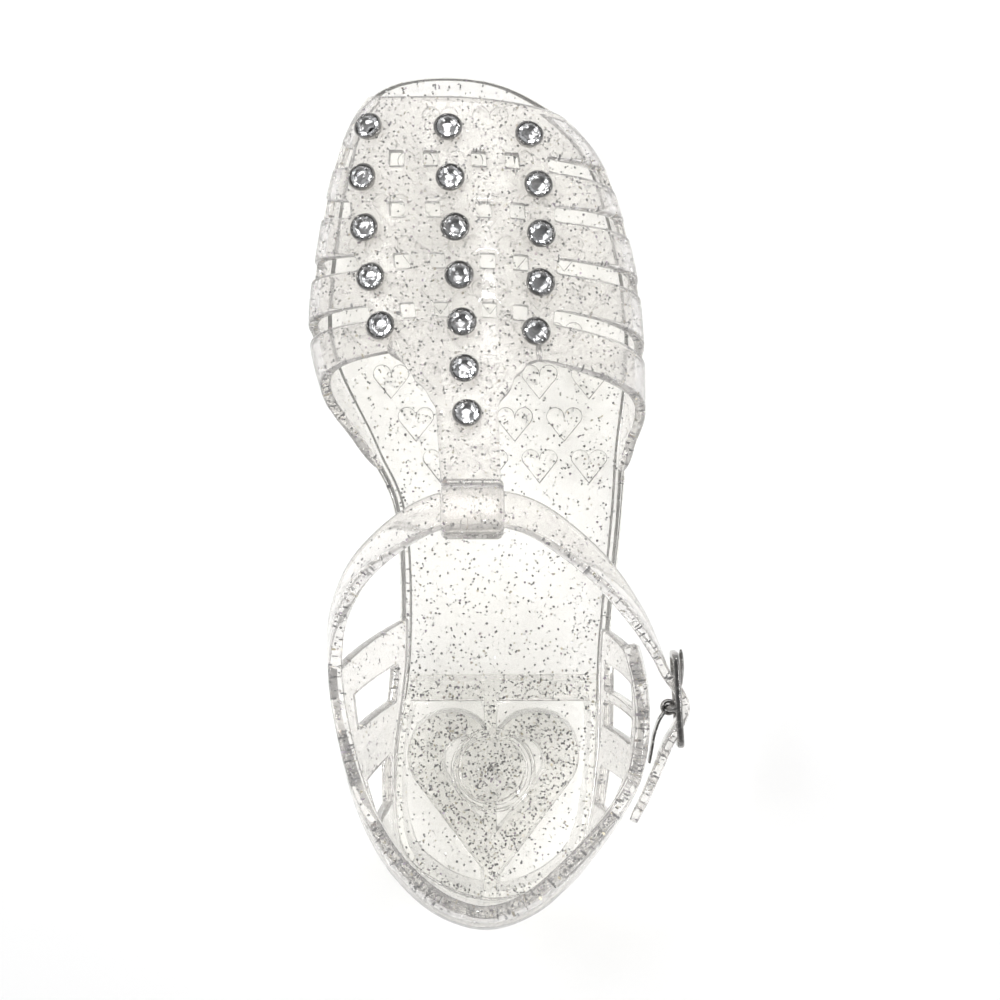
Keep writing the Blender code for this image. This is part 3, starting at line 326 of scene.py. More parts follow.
# Buckle on the outer side
BUCKLE_CENTRE = (0.0448, 0.0200, 0.0470)
BUCKLE_TURN = math.radians(3.5)
BUCKLE_LENGTH = 0.0228
BUCKLE_HEIGHT = 0.0150
BUCKLE_RAIL = 0.0018
BUCKLE_THICKNESS = 0.0016
BUCKLE_CORNER = 0.0022
BUCKLE_WINDOW_CORNER = 0.0012
BUCKLE_EDGE = 0.0005
BAR_X = 0.0428
BAR_Y = 0.0180
BAR_RADIUS = 0.00075
WIRE_END_TRIM = 0.45
BAR_STRAIGHT = 0.0056
LEAF_HEIGHT = 0.0070
LEAF_THICKNESS = 0.0005
LEAF_LOOP_RADIUS = 0.00155
LEAF_NOTCH = 0.0028
LEAF_NOTCH_START = 9
LEAF_EDGE = 0.00012
PRONG_RADIUS = 0.0005
PRONG_LOOP_RADIUS = 0.0015
PRONG_HOLE_X = (0.0400, 0.0500)
PRONG_HOLE_Y = 0.0222
PRONG_HOLE_HEIGHT = 0.0022
PRONG_HOLE_LENGTH = 0.0046
PRONG_HOLE_ROUNDING = 0.0008
SPARE_HOLES = 3
SPARE_HOLE_FIRST = (0.0390, 0.0071, 0.0468)
SPARE_HOLE_PITCH = 0.0062
SPARE_HOLE_RADIUS = 0.0009
SPARE_HOLE_DEPTH = 0.012

# Stones: the middle of each strap on the ridge, and the angle round the arch of each bar
STONE_ROWS = [0.1586, 0.1458, 0.1335, 0.1216, 0.1100]
TBAR_STONE_ROWS = [0.0985, 0.0875]
STONE_BARS = [(47.3, 68.8, 0.0002), (119.5, 106.1, -0.0008)]
STONE_SEAT = 0.0012
STONE_CROWN = 0.0013
STONE_DEPTH = 0.0010
STONE_TURN = 0.7
NORMAL_TURN = math.degrees(0.02)
NORMAL_STEP = 0.001
TBAR_NORMAL_STEP = 0.002
CUP_SEAT = 0.0004
CUP_LIP = 0.00032
CUP_FOOT = -0.0006

# Glitter: how far a flake's middle stays below the surface, and its thickness to its radius
FLAKE_MARGIN = 0.00022
MARGIN_SHARE = 0.8
FLAKE_THICKNESS = 0.16
# Attribute whose random value picks each flake's painted shade, tint or painted glint
FLAKE_PAINTED_LIGHT = "flake_painted_light"

# How far helper bodies reach past what they cut
NEAR_REACH = 0.01
REACH = 0.02
FAR_REACH = 0.03
WIDE_REACH = 0.06
LONG_REACH = 0.20

# Limits for joining vertices, for rounding edges and for what a boolean leaves behind
MERGE = 1e-7
SHARP_EDGE = math.radians(50)
SLIVER = 2e-6
SCRAP_FACES = 20

# Stage: lamps that aim at the sandal, and the camera above it
Lamp = namedtuple("Lamp", "name place size power glossy")
LAMPS = [
    Lamp("glint_left", (-0.30, 0.20, 0.62), 0.05, 0.22, True),
    Lamp("glint_right", (0.34, 0.02, 0.58), 0.05, 0.20, True),
    Lamp("glint_toe", (0.06, 0.46, 0.60), 0.05, 0.20, True),
    Lamp("key_light", (-0.55, 0.35, 0.75), 0.50, 3.9, False),
    Lamp("fill_light", (0.65, -0.10, 0.70), 0.50, 3.5, False),
    Lamp("toe_light", (0.05, 0.85, 0.65), 0.45, 2.3, False),
]
LAMP_TARGET = (0.0, 0.07, 0.02)
FLOOR_CENTRE = (0.0, 0.07, -0.0002)
FLOOR_SIZE = 1.6
SKY_STRENGTH = 0.92
SKY_BY_HEIGHT = [(0.0, 0.55), (0.5, 0.55), (0.62, 0.50), (0.80, 0.28), (1.0, 0.12)]
CAMERA_PLACE = (0.0025, 0.0675, 0.8)
SENSOR_WIDTH = 36.0
VIEW_WIDTH = 0.254
BOUNCES = {
    "max_bounces": 9,
    "diffuse_bounces": 2,
    "glossy_bounces": 3,
    "transmission_bounces": 9,
    "transparent_max_bounces": 10,
}


def spline(rows, steps, closed=False):
    """Catmull-Rom curve through rows of numbers, with a number of steps in each span."""
    count = len(rows)
    spans = count if closed else count - 1
    samples = []
    for span in range(spans):
        picks = [span - 1, span, span + 1, span + 2]
        if closed:
            before, start, end, after = (rows[pick % count] for pick in picks)
        else:
            before, start, end, after = (rows[min(max(pick, 0), count - 1)] for pick in picks)
        for step in range(steps):
            t = step / steps
            samples.append(tuple(
                b + 0.5 * t * (c - a + t * (2 * a - 5 * b + 4 * c - d + t * (3 * (b - c) + d - a)))
                for a, b, c, d in zip(before, start, end, after)
            ))
    if not closed:
        samples.append(tuple(rows[-1]))
    return samples


def value_at(samples, key, position, column):
    """Column of a sampled curve where its key column reaches a position."""
    for start, end in zip(samples, samples[1:]):
        low, high = sorted((start[key], end[key]))
        if low <= position <= high and high > low:
            share = (position - start[key]) / (end[key] - start[key])
            return start[column] + (end[column] - start[column]) * share
    nearest = min(samples, key=lambda sample: abs(sample[key] - position))
    return nearest[column]


def sole_outline(steps):
    """Closed outline of the sole as (x, y), down the inner side and up the outer side."""
    down = [(row.medial, row.y) for row in OUTLINE]
    up = [(row.lateral, row.y) for row in reversed(OUTLINE)]
    return spline([TOE_TIP] + down + [HEEL_TIP] + up, steps, closed=True)


SOLE_LOOP = sole_outline(14)
HALF = len(SOLE_LOOP) // 2
EDGE = {MEDIAL: SOLE_LOOP[: HALF + 1], LATERAL: SOLE_LOOP[HALF:] + SOLE_LOOP[:1]}
RIDGE = spline(CROWN, 6)
RIM_CURVE = spline(RIM, 5)
UNDERSIDE = [tuple(row) for row in HEEL_UNDERSIDE] + spline(FORE_UNDERSIDE, 5)
BULGE_CURVE = spline(BULGES, 5)


def edge_x(side, y):
    return value_at(EDGE[side], 1, y, 0)


def rim_top(y):
    return value_at(RIM_CURVE, 0, y, 1)


def underside(y):
    return value_at(UNDERSIDE, 0, y, 1)


def ridge_point(y):
    return value_at(RIDGE, 0, y, 1), value_at(RIDGE, 0, y, 2)


def bulge(side, y):
    return value_at(BULGE_CURVE, 0, y, 1 if side == MEDIAL else 2)


def inset(loop, distance):
    """Offset a closed loop that runs anticlockwise inwards."""
    count = len(loop)
    moved = []
    for index, (x, y) in enumerate(loop):
        before = loop[index - 1]
        after = loop[(index + 1) % count]
        along = Vector((after[0] - before[0], after[1] - before[1])).normalized()
        moved.append((x - along.y * distance, y + along.x * distance))
    return moved


def heart(centre_x, tip_y, width, length, steps):
    """Heart outline, anticlockwise from its tip: two round lobes and straight sides."""
    radius = width / 4
    lobe_y = tip_y + length - radius
    to_lobe = math.hypot(radius, length - radius)
    side = math.atan2(length - radius, radius) - math.asin(radius / to_lobe)
    first = side - math.pi / 2
    right = []
    for step in range(steps):
        turn = first + (math.pi - first) * step / steps
        right.append((radius + radius * math.cos(turn), lobe_y + radius * math.sin(turn)))
    left = [(-x, y) for x, y in reversed(right)]
    outline = [(0.0, tip_y)] + right + [(0.0, lobe_y)] + left
    return [(centre_x + x, y) for x, y in outline]


def drop_helper(item):
    """Remove a helper body and its mesh."""
    data = item.data
    bpy.data.objects.remove(item, do_unlink=True)
    bpy.data.meshes.remove(data)


def add_object(name, data):
    item = bpy.data.objects.new(name, data)
    bpy.context.scene.collection.objects.link(item)
    return item


def new_object(name, mesh):
    """Object from a bmesh, which is freed."""
    data = bpy.data.meshes.new(name)
    mesh.to_mesh(data)
    mesh.free()
    return add_object(name, data)


def bake(item):
    """Replace an object's mesh by its evaluated one, in place."""
    graph = bpy.context.evaluated_depsgraph_get()
    mesh = bpy.data.meshes.new_from_object(item.evaluated_get(graph))
    item.modifiers.clear()
    old = item.data
    item.data = mesh
    bpy.data.meshes.remove(old)


def boolean(target, other, operation):
    """Cut or join another body, which is used up."""
    modifier = target.modifiers.new(operation.title(), "BOOLEAN")
    modifier.operation = operation
    modifier.solver = "EXACT"
    modifier.object = other
    bake(target)
    drop_helper(other)


def clear_slivers(item):
    """Dissolve the slivers that the booleans leave, and drop any scrap that they cut loose."""
    mesh = bmesh.new()
    mesh.from_mesh(item.data)
    bmesh.ops.triangulate(mesh, faces=mesh.faces[:])
    bmesh.ops.remove_doubles(mesh, verts=mesh.verts[:], dist=SLIVER)
    bmesh.ops.dissolve_degenerate(mesh, edges=mesh.edges[:], dist=SLIVER)
    seen = set()
    scraps = []
    for face in mesh.faces:
        if face in seen:
            continue
        seen.add(face)
        island = [face]
        for part in island:
            for edge in part.edges:
                for beside in edge.link_faces:
                    if beside not in seen:
                        seen.add(beside)
                        island.append(beside)
        if len(island) < SCRAP_FACES:
            scraps += island
    bmesh.ops.delete(mesh, geom=scraps, context="FACES")
    torn = [edge for edge in mesh.edges if len(edge.link_faces) == 1]
    bmesh.ops.holes_fill(mesh, edges=torn, sides=0)
    bmesh.ops.triangulate(mesh, faces=mesh.faces[:])
    bmesh.ops.recalc_face_normals(mesh, faces=mesh.faces[:])
    mesh.to_mesh(item.data)
    mesh.free()


def smooth(item, degrees):
    item.data.shade_smooth()
    item.data.set_sharp_from_angle(angle=math.radians(degrees))


def bevel(mesh, edges, width, segments):
    bmesh.ops.bevel(
        mesh, geom=edges, offset=width, segments=segments, profile=0.5, affect="EDGES",
        offset_type="OFFSET", clamp_overlap=True, material=-1,
    )


def round_edges(item, width, segments):
    """Round a body's sharp edges, and bake all its modifiers."""
    modifier = item.modifiers.new("Rounding", "BEVEL")
    modifier.width = width
    modifier.segments = segments
    modifier.limit_method = "ANGLE"
    modifier.angle_limit = SHARP_EDGE
    bake(item)


def finish_piece(item, material, nodes):
    """Give a piece its material, and tell the frame what it stands for."""
    item.data.materials.clear()
    item.data.materials.append(material)
    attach(item, BODY)
    if nodes:
        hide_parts(*nodes)


def grid_sheet(points, open_cells=()):
    """Grid whose corners take the given places, without its open cells. It faces outwards where the
    rows run to the rear and the columns to the outer side."""
    rows, columns = len(points), len(points[0])
    mesh = bmesh.new()
    bmesh.ops.create_grid(mesh, x_segments=columns - 1, y_segments=rows - 1, size=1.0)
    shut = []
    for face in mesh.faces:
        middle = face.calc_center_median()
        cell = (
            math.floor((middle.y + 1) / 2 * (rows - 1)), math.floor((middle.x + 1) / 2 * (columns - 1))
        )
        if cell in open_cells:
            shut.append(face)
    for vert in mesh.verts:
        row = round((vert.co.y + 1) / 2 * (rows - 1))
        column = round((vert.co.x + 1) / 2 * (columns - 1))
        vert.co = points[row][column]
    bmesh.ops.delete(mesh, geom=shut, context="FACES")
    bmesh.ops.reverse_faces(mesh, faces=mesh.faces[:])
    return mesh


def closed_tube(rings):
    """Tube through closed rings of points, with its ends filled."""
    mesh = grid_sheet([list(ring) + [ring[0]] for ring in rings])
    bmesh.ops.remove_doubles(mesh, verts=mesh.verts[:], dist=MERGE)
    bmesh.ops.holes_fill(mesh, edges=mesh.edges[:], sides=0)
    bmesh.ops.recalc_face_normals(mesh, faces=mesh.faces[:])
    return mesh


def slab(loop, low, high, chamfer=0.0):
    """Prism over a closed outline, whose floor and top follow functions of y."""
    mesh = bmesh.new()
    bmesh.ops.create_circle(mesh, cap_ends=True, segments=len(loop), radius=1.0)
    mesh.verts.ensure_lookup_table()
    for vert, (x, y) in zip(mesh.verts, loop):
        vert.co = (x, y, 0.0)
    lifted = bmesh.ops.extrude_face_region(mesh, geom=mesh.faces[:])
    upper = {part for part in lifted["geom"] if isinstance(part, bmesh.types.BMVert)}
    for vert in mesh.verts:
        vert.co.z = high(vert.co.y) if vert in upper else low(vert.co.y)
    bmesh.ops.recalc_face_normals(mesh, faces=mesh.faces[:])
    if chamfer:
        foot = [
            edge for edge in mesh.edges
            if len(edge.link_faces) == 2 and edge.calc_face_angle(0.0) > SHARP_EDGE
            and all(vert not in upper for vert in edge.verts)
        ]
        bevel(mesh, foot, chamfer, 1)
    return mesh


def block(minimum, maximum, rounding=0.0, segments=3):
    """Box between two corners, with rounded edges."""
    mesh = bmesh.new()
    bmesh.ops.create_cube(mesh, size=1.0)
    size = [high - low for low, high in zip(minimum, maximum)]
    middle = [(high + low) / 2 for low, high in zip(minimum, maximum)]
    bmesh.ops.scale(mesh, vec=size, verts=mesh.verts)
    bmesh.ops.translate(mesh, vec=middle, verts=mesh.verts)
    if rounding:
        bevel(mesh, mesh.edges[:], rounding, segments)
    return mesh


def plate(minimum, maximum, rounding, segments):
    """Box that faces sideways, with only the corners of its outline rounded."""
    mesh = block(minimum, maximum)
    corners = [edge for edge in mesh.edges if abs((edge.verts[0].co - edge.verts[1].co).x) > 1e-6]
    bevel(mesh, corners, rounding, segments)
    return mesh


def turned(profile, steps):
    """Closed body turned from a profile of (radius, height) that starts and ends on its axis."""
    mesh = bmesh.new()
    verts = [mesh.verts.new((radius, 0.0, height)) for radius, height in profile]
    edges = [mesh.edges.new(pair) for pair in zip(verts, verts[1:])]
    bmesh.ops.spin(
        mesh, geom=verts + edges, cent=(0.0, 0.0, 0.0), axis=(0.0, 0.0, 1.0),
        angle=math.tau, steps=steps, use_merge=True,
    )
    bmesh.ops.remove_doubles(mesh, verts=mesh.verts[:], dist=MERGE)
    bmesh.ops.recalc_face_normals(mesh, faces=mesh.faces[:])
    return mesh


# Materials


def node_material(name):
    material = bpy.data.materials.new(name)
    material.use_nodes = True
    nodes, links = material.node_tree.nodes, material.node_tree.links
    return material, nodes, links, nodes["Principled BSDF"]


def set_values(node, values):
    """Set a node's inputs by name."""
    for name, value in values.items():
        node.inputs[name].default_value = value


def graded(nodes, links, source, stops, target):
    """Drive a socket through a colour ramp with stops of (position, value or colour)."""
    node = nodes.new("ShaderNodeValToRGB")
    elements = node.color_ramp.elements
    while len(elements) < len(stops):
        elements.new(0.5)
    for element, (position, colour) in zip(elements, stops):
        element.position = position
        element.color = colour if isinstance(colour, tuple) else (colour, colour, colour, 1.0)
    links.new(source, node.inputs["Fac"])
    links.new(node.outputs["Color"], target)


def noise(nodes, links, scale, detail):
    """Noise over object coordinates."""
    coords = nodes.new("ShaderNodeTexCoord")
    node = nodes.new("ShaderNodeTexNoise")
    set_values(node, {"Scale": scale, "Detail": detail})
    links.new(coords.outputs["Object"], node.inputs["Vector"])
    return node.outputs["Fac"]


def bump(nodes, links, height, strength, distance, shader):
    node = nodes.new("ShaderNodeBump")
    set_values(node, {"Strength": strength, "Distance": distance})
    links.new(height, node.inputs["Height"])
    links.new(node.outputs["Normal"], shader.inputs["Normal"])


def pvc_material(name, tint, clear_share, density):
    """Clear moulded PVC: glassy, a little milky, ivory where it is thick, and it lets lamps through."""
    material, nodes, links, shader = node_material(name)
    output = nodes["Material Output"]
    cloud = noise(nodes, links, 160.0, 1.0)
    light = tuple(min(channel * 1.03, 1.0) for channel in tint)
    graded(nodes, links, cloud, [(0.3, tuple(tint)), (0.7, light)], shader.inputs["Base Color"])
    graded(nodes, links, cloud, [(0.3, 0.05), (0.7, 0.12)], shader.inputs["Roughness"])
    bump(nodes, links, noise(nodes, links, 420.0, 0.0), 0.12, 0.0002, shader)
    set_values(shader, {"IOR": 1.48, "Transmission Weight": clear_share})
    if density:
        absorb = nodes.new("ShaderNodeVolumeAbsorption")
        depth = tuple(bpy.context.scene.sandal_colours.pvc_depth)
        set_values(absorb, {"Color": depth, "Density": density})
        links.new(absorb.outputs["Volume"], output.inputs["Volume"])
    path = nodes.new("ShaderNodeLightPath")
    through = nodes.new("ShaderNodeBsdfTransparent")
    set_values(through, {"Color": (0.93, 0.93, 0.92, 1.0)})
    mix = nodes.new("ShaderNodeMixShader")
    links.new(path.outputs["Is Shadow Ray"], mix.inputs["Fac"])
    links.new(shader.outputs["BSDF"], mix.inputs[1])
    links.new(through.outputs["BSDF"], mix.inputs[2])
    links.new(mix.outputs["Shader"], output.inputs["Surface"])
    return material


def metal_material(name, low_gloss, high_gloss, scratch):
    """Plated metal with slightly uneven polish."""
    tint = tuple(bpy.context.scene.sandal_colours.metal_tint)
    material, nodes, links, shader = node_material(name)
    cloud = noise(nodes, links, 900.0, 4.0)
    dark = tuple(channel * 0.72 for channel in tint[:3]) + (1.0,)
    graded(nodes, links, cloud, [(0.3, dark), (0.65, tint)], shader.inputs["Base Color"])
    graded(nodes, links, cloud, [(0.3, low_gloss), (0.7, high_gloss)], shader.inputs["Roughness"])
    bump(nodes, links, cloud, scratch, 0.0001, shader)
    set_values(shader, {"Metallic": 1.0})
    return material


def stone_material():
    """Cut crystal with a faint cool tint."""
    tint = tuple(bpy.context.scene.sandal_colours.stone_tint)
    material, nodes, links, shader = node_material("cut_crystal")
    cloud = noise(nodes, links, 300.0, 1.0)
    graded(nodes, links, cloud, [(0.3, tint), (0.7, 1.0)], shader.inputs["Base Color"])
    set_values(shader, {"Roughness": 0.0, "IOR": 1.6, "Transmission Weight": 1.0})
    return material


def flake_material():
    """Silver glitter: a random value kept in each flake's mesh picks its colour, from painted shade
    through violet and gold tints to a painted glint.
    """
    colours = bpy.context.scene.sandal_colours
    material, nodes, links, shader = node_material("silver_glitter")
    shade = nodes.new("ShaderNodeAttribute")
    shade.attribute_name = FLAKE_PAINTED_LIGHT
    # Most flakes get the painted shade and the highest values the painted glint, in place of the light
    # that each silver flake catches or misses
    dark = tuple(colours.flake_painted_shade)
    stops = [
        (0.0, dark), (0.60, dark), (0.70, tuple(colours.flake_violet)),
        (0.80, tuple(colours.flake_gold)), (0.90, tuple(colours.flake_painted_glint)),
    ]
    graded(nodes, links, shade.outputs["Fac"], stops, shader.inputs["Base Color"])
    set_values(shader, {"Metallic": 0.9, "Roughness": 0.28})
    return material


# Sole


def sole_body(rounding):
    """The moulded sole as rings from the edge of its underside, up the side and over the rim to the
    footbed, closed by two caps that follow its side view."""
    profile = []
    for step in range(4):
        turn = math.pi / 2 * step / 4
        profile.append((rounding * (1 - math.sin(turn)), 0, rounding * (1 - math.cos(turn)), 1.0))
    profile.append((0.0, 0, rounding, 1.0))
    profile.append((0.0, 1, -rounding * SIDE_TOP, 0.5))
    lip = rounding * LIP_SHARE
    for step in range(4):
        turn = math.pi / 2 * step / 3
        profile.append((lip * (1 - math.cos(turn)), 1, lip * (math.sin(turn) - 1), 0.0))
    inner = RIM_WIDTH - lip
    for step in range(4):
        turn = math.pi / 2 * step / 3
        profile.append((inner + lip * math.sin(turn), 1, lip * (math.cos(turn) - 1), 0.0))
    fillet = RIM_HEIGHT - lip
    profile.append((RIM_WIDTH + fillet * 0.4, 1, -RIM_HEIGHT + fillet * 0.25, 0.0))
    profile.append((RIM_WIDTH + fillet * 1.5, 1, -RIM_HEIGHT, 0.0))
    rings = []
    for distance, on_top, rise, draft in profile:
        ring = []
        for x, y in inset(SOLE_LOOP, distance):
            z = (rim_top(y) if on_top else underside(y)) + rise
            if not on_top:
                z = min(z, rim_top(y) - RIM_HEIGHT * 2)
            middle = (edge_x(MEDIAL, y) + edge_x(LATERAL, y)) / 2
            x = middle + (x - middle) * (1 - SOLE_DRAFT * draft)
            ring.append(Vector((x, y, z)))
        rings.append(ring)
    mesh = grid_sheet([ring + [ring[0]] for ring in rings])
    bmesh.ops.remove_doubles(mesh, verts=mesh.verts[:], dist=MERGE)
    bmesh.ops.holes_fill(mesh, edges=mesh.edges[:], sides=0)
    caps = [face for face in mesh.faces if len(face.verts) > 4]
    stations = [SLICES_START + SLICES_LENGTH * step / SLICES for step in range(SLICES + 1)]
    stations += [row.y for row in HEEL_UNDERSIDE[3:]]
    for station in stations:
        parts = set(caps)
        for face in caps:
            parts.update(face.edges)
            parts.update(face.verts)
        cut = bmesh.ops.bisect_plane(
            mesh, geom=list(parts), dist=MERGE, plane_co=(0.0, station, 0.0), plane_no=(0.0, 1.0, 0.0)
        )
        faces = [part for part in cut["geom"] if isinstance(part, bmesh.types.BMFace)]
        caps = list({*faces, *(face for face in caps if face.is_valid)})
    bmesh.ops.recalc_face_normals(mesh, faces=mesh.faces[:])
    return mesh


def heel_core(rounding):
    """The hollows of the heel: its inside less the heart rib, the disc and the spine."""
    ceiling = rim_top(0.0) - RIM_HEIGHT - HEEL_SEAT
    core = new_object(
        "heel_core", slab(inset(SOLE_LOOP, HEEL_WALL), lambda y: -NEAR_REACH, lambda y: ceiling)
    )
    front = block(
        (-WIDE_REACH, HEEL_BREAST - HEEL_BREAST_WALL, -REACH), (WIDE_REACH, LONG_REACH, FAR_REACH)
    )
    outer = heart(HEEL_HEART_X, HEEL_HEART_TIP, HEEL_HEART_WIDTH, HEEL_HEART_LENGTH, 28)
    inner = heart(HEEL_HEART_X, HEEL_HOLLOW_TIP, HEEL_HOLLOW_WIDTH, HEEL_HOLLOW_LENGTH, 22)
    rib = new_object("heart_rib", slab(outer, lambda y: -REACH, lambda y: REACH))
    hollow = new_object("heart_hollow", slab(inner, lambda y: -FAR_REACH, lambda y: FAR_REACH))
    boolean(rib, hollow, "DIFFERENCE")
    disc = turned([
        (0.0, -REACH), (HEEL_DISC_RADIUS, -REACH), (HEEL_DISC_RADIUS, REACH), (0.0, REACH)
    ], 64)
    spine = block((-HEEL_SPINE / 2, -WIDE_REACH, -REACH), (HEEL_SPINE / 2, WIDE_REACH, REACH))
    kept = [
        new_object("core_front", front), rib,
        new_object("heel_disc", disc), new_object("heel_spine", spine),
    ]
    for body in kept:
        boolean(core, body, "DIFFERENCE")
    round_edges(core, rounding, 2)
    return core


def lug_places():
    """Middle of each heart lug that fits inside the forefoot's outline."""
    places = []
    for row in range(LUG_ROWS):
        y = LUG_FIRST_ROW + row * LUG_PITCH_Y
        shift = 0.0 if row % 2 == 0 else LUG_PITCH_X / 2
        for column in range(-4, 4):
            x = column * LUG_PITCH_X + shift
            reach = LUG_WIDTH / 2 + LUG_MARGIN
            ends = (y - LUG_LENGTH / 2, y + LUG_LENGTH / 2)
            inside = all(
                edge_x(MEDIAL, end) + reach < x < edge_x(LATERAL, end) - reach for end in ends
            )
            if inside and ends[1] <= OUTLINE[0].y:
                places.append((x, y))
    return places


def heart_lugs(chamfer):
    """All the heart lugs, each chamfered round its foot, as one helper body."""
    mesh = bmesh.new()
    for x, y in lug_places():
        slope = (underside(y + LUG_LENGTH / 2) - underside(y - LUG_LENGTH / 2)) / LUG_LENGTH
        floor = underside(y) - LUG_HEIGHT
        lug = slab(
            heart(x, y - LUG_LENGTH / 2, LUG_WIDTH, LUG_LENGTH, 10),
            lambda at: max(floor + slope * (at - y), 0.0),
            lambda at: underside(y) + LUG_HEIGHT,
            chamfer=chamfer,
        )
        data = bpy.data.meshes.new("lug")
        lug.to_mesh(data)
        lug.free()
        mesh.from_mesh(data)
        bpy.data.meshes.remove(data)
    return new_object("heart_lugs", mesh)


def insole_rings():
    """Shallow grooves round the middle of the heel seat, as turned rings."""
    mesh = bmesh.new()
    x, y = INSOLE_RINGS_CENTRE
    top = rim_top(y) - RIM_HEIGHT
    for radius in INSOLE_RING_RADII:
        circle = bmesh.ops.create_circle(mesh, segments=10, radius=INSOLE_GROOVE_RADIUS)
        place = Matrix.Translation((radius, 0.0, INSOLE_GROOVE_RISE))
        turn = place @ Matrix.Rotation(math.pi / 2, 4, "X")
        bmesh.ops.transform(mesh, matrix=turn, verts=circle["verts"])
        edges = list({edge for vert in circle["verts"] for edge in vert.link_edges})
        bmesh.ops.spin(
            mesh, geom=circle["verts"] + edges, cent=(0.0, 0.0, 0.0), axis=(0.0, 0.0, 1.0),
            angle=math.tau, steps=80, use_merge=True,
        )
    bmesh.ops.remove_doubles(mesh, verts=mesh.verts[:], dist=MERGE)
    bmesh.ops.recalc_face_normals(mesh, faces=mesh.faces[:])
    bmesh.ops.translate(mesh, vec=(x, y, top), verts=mesh.verts[:])
    return new_object("insole_rings", mesh)


# Cage, T-bar and sleeve


def arch_point(degrees, y, crown_y):
    """Point on the cage's outer face: from the sole's edge up and over to the ridge."""
    side = MEDIAL if degrees <= 90 else LATERAL
    angle = math.radians(degrees if side == MEDIAL else 180 - degrees)
    ridge_x, ridge_z = ridge_point(crown_y)
    floor = rim_top(y)
    reach = max(math.cos(angle), 0.0) ** REACH_POWER
    swell = bulge(side, y) * math.sin(2 * angle) * math.cos(angle)
    x = ridge_x + (edge_x(side, y) - ridge_x) * reach + side * swell
    z = floor + (ridge_z - floor) * math.sin(angle) ** RISE_POWER
    return Vector((x, y, z))


def line_share(crown_y):
    """Place of a cross line between the front edge (0) and the rear edge (1)."""
    front = CAGE_LINES[0].crown_y
    return min(max((front - crown_y) / (front - REAR_LINE_Y), 0.0), 1.0)


def column_degrees(column, share):
    return column.front_deg + (column.rear_deg - column.front_deg) * share


def cage_point(column, line):
    """Point where a lengthwise line crosses a cross line."""
    degrees = column_degrees(column, line_share(line.crown_y))
    side = MEDIAL if degrees <= 90 else LATERAL
    base_y = line.medial_y if side == MEDIAL else line.lateral_y
    up = degrees if side == MEDIAL else 180 - degrees
    sweep = max(1 - up / 90, 0.0) ** SWEEP_POWER[side]
    y = line.crown_y + (base_y - line.crown_y) * sweep
    return arch_point(degrees, y, line.crown_y)


def shifted(line, share):
    """A line moved by a share of its half gaps, towards the toe."""
    return line._replace(
        crown_y=line.crown_y + share * line.crown_gap,
        medial_y=line.medial_y + share * line.medial_gap,
        lateral_y=line.lateral_y + share * line.lateral_gap,
    )


def between(first, second, share):
    return type(first)(*(a + (b - a) * share for a, b in zip(first, second)))


def column_between(first, second, share):
    values = [a + (b - a) * share for a, b in zip(first[1:], second[1:])]
    return Column("", *values)


def fine_columns():
    """Lengthwise lines of the smooth cage: the named ones, one each side of every opening's edge, and
    more where they lie far apart. Also the place of each named line among them."""
    named = {column.name: index for index, column in enumerate(COLUMNS)}
    extra = {}
    for spans, share in ((HOLES, HOLE_SUPPORT), (SLOTS, SLOT_SUPPORT)):
        for start, end in spans:
            first, last = COLUMNS[named[start]], COLUMNS[named[end]]
            extra[start] = (column_between(first, last, -share), column_between(first, last, share))
            extra[end] = (column_between(first, last, 1 - share), column_between(first, last, 1 + share))
    lines = []
    for column in COLUMNS:
        group = [column]
        if column.name in extra:
            before, after = extra[column.name]
            group = [before, column, after]
        for item in group:
            if lines:
                spread = max(item.front_deg - lines[-1].front_deg, item.rear_deg - lines[-1].rear_deg)
                last = lines[-1]
                parts = max(int(round(spread / LARGEST_SPREAD)), 1)
                for part in range(1, parts):
                    lines.append(column_between(last, item, part / parts))
            lines.append(item)
    places = {line.name: index for index, line in enumerate(lines) if line.name}
    level = [line.rear_y for line in lines]
    for _ in range(REAR_SMOOTHING):
        level = [level[0]] + [
            (a + 2 * b + c) / 4 for a, b, c in zip(level, level[1:], level[2:])
        ] + [level[-1]]
    lines = [line._replace(rear_y=y) for line, y in zip(lines, level)]
    return lines, places


def fine_lines():
    """Cross lines of the smooth cage, and the rows of cells that its openings take."""
    lines = [CAGE_LINES[0]]
    rows = []
    for line in CAGE_LINES[1:]:
        outside = shifted(line, HOLE_OUTSIDE)
        start = lines[-1]
        shares = (0.09, 0.36, 0.68) if len(lines) == 1 else (0.33, 0.67)
        lines += [between(start, outside, share) for share in shares]
        lines.append(outside)
        lines.append(shifted(line, 1))
        rows += [len(lines) - 1, len(lines), len(lines) + 1]
        lines += [shifted(line, share) for share in (HOLE_INSIDE, -HOLE_INSIDE, -1, -HOLE_OUTSIDE)]
    return lines, rows


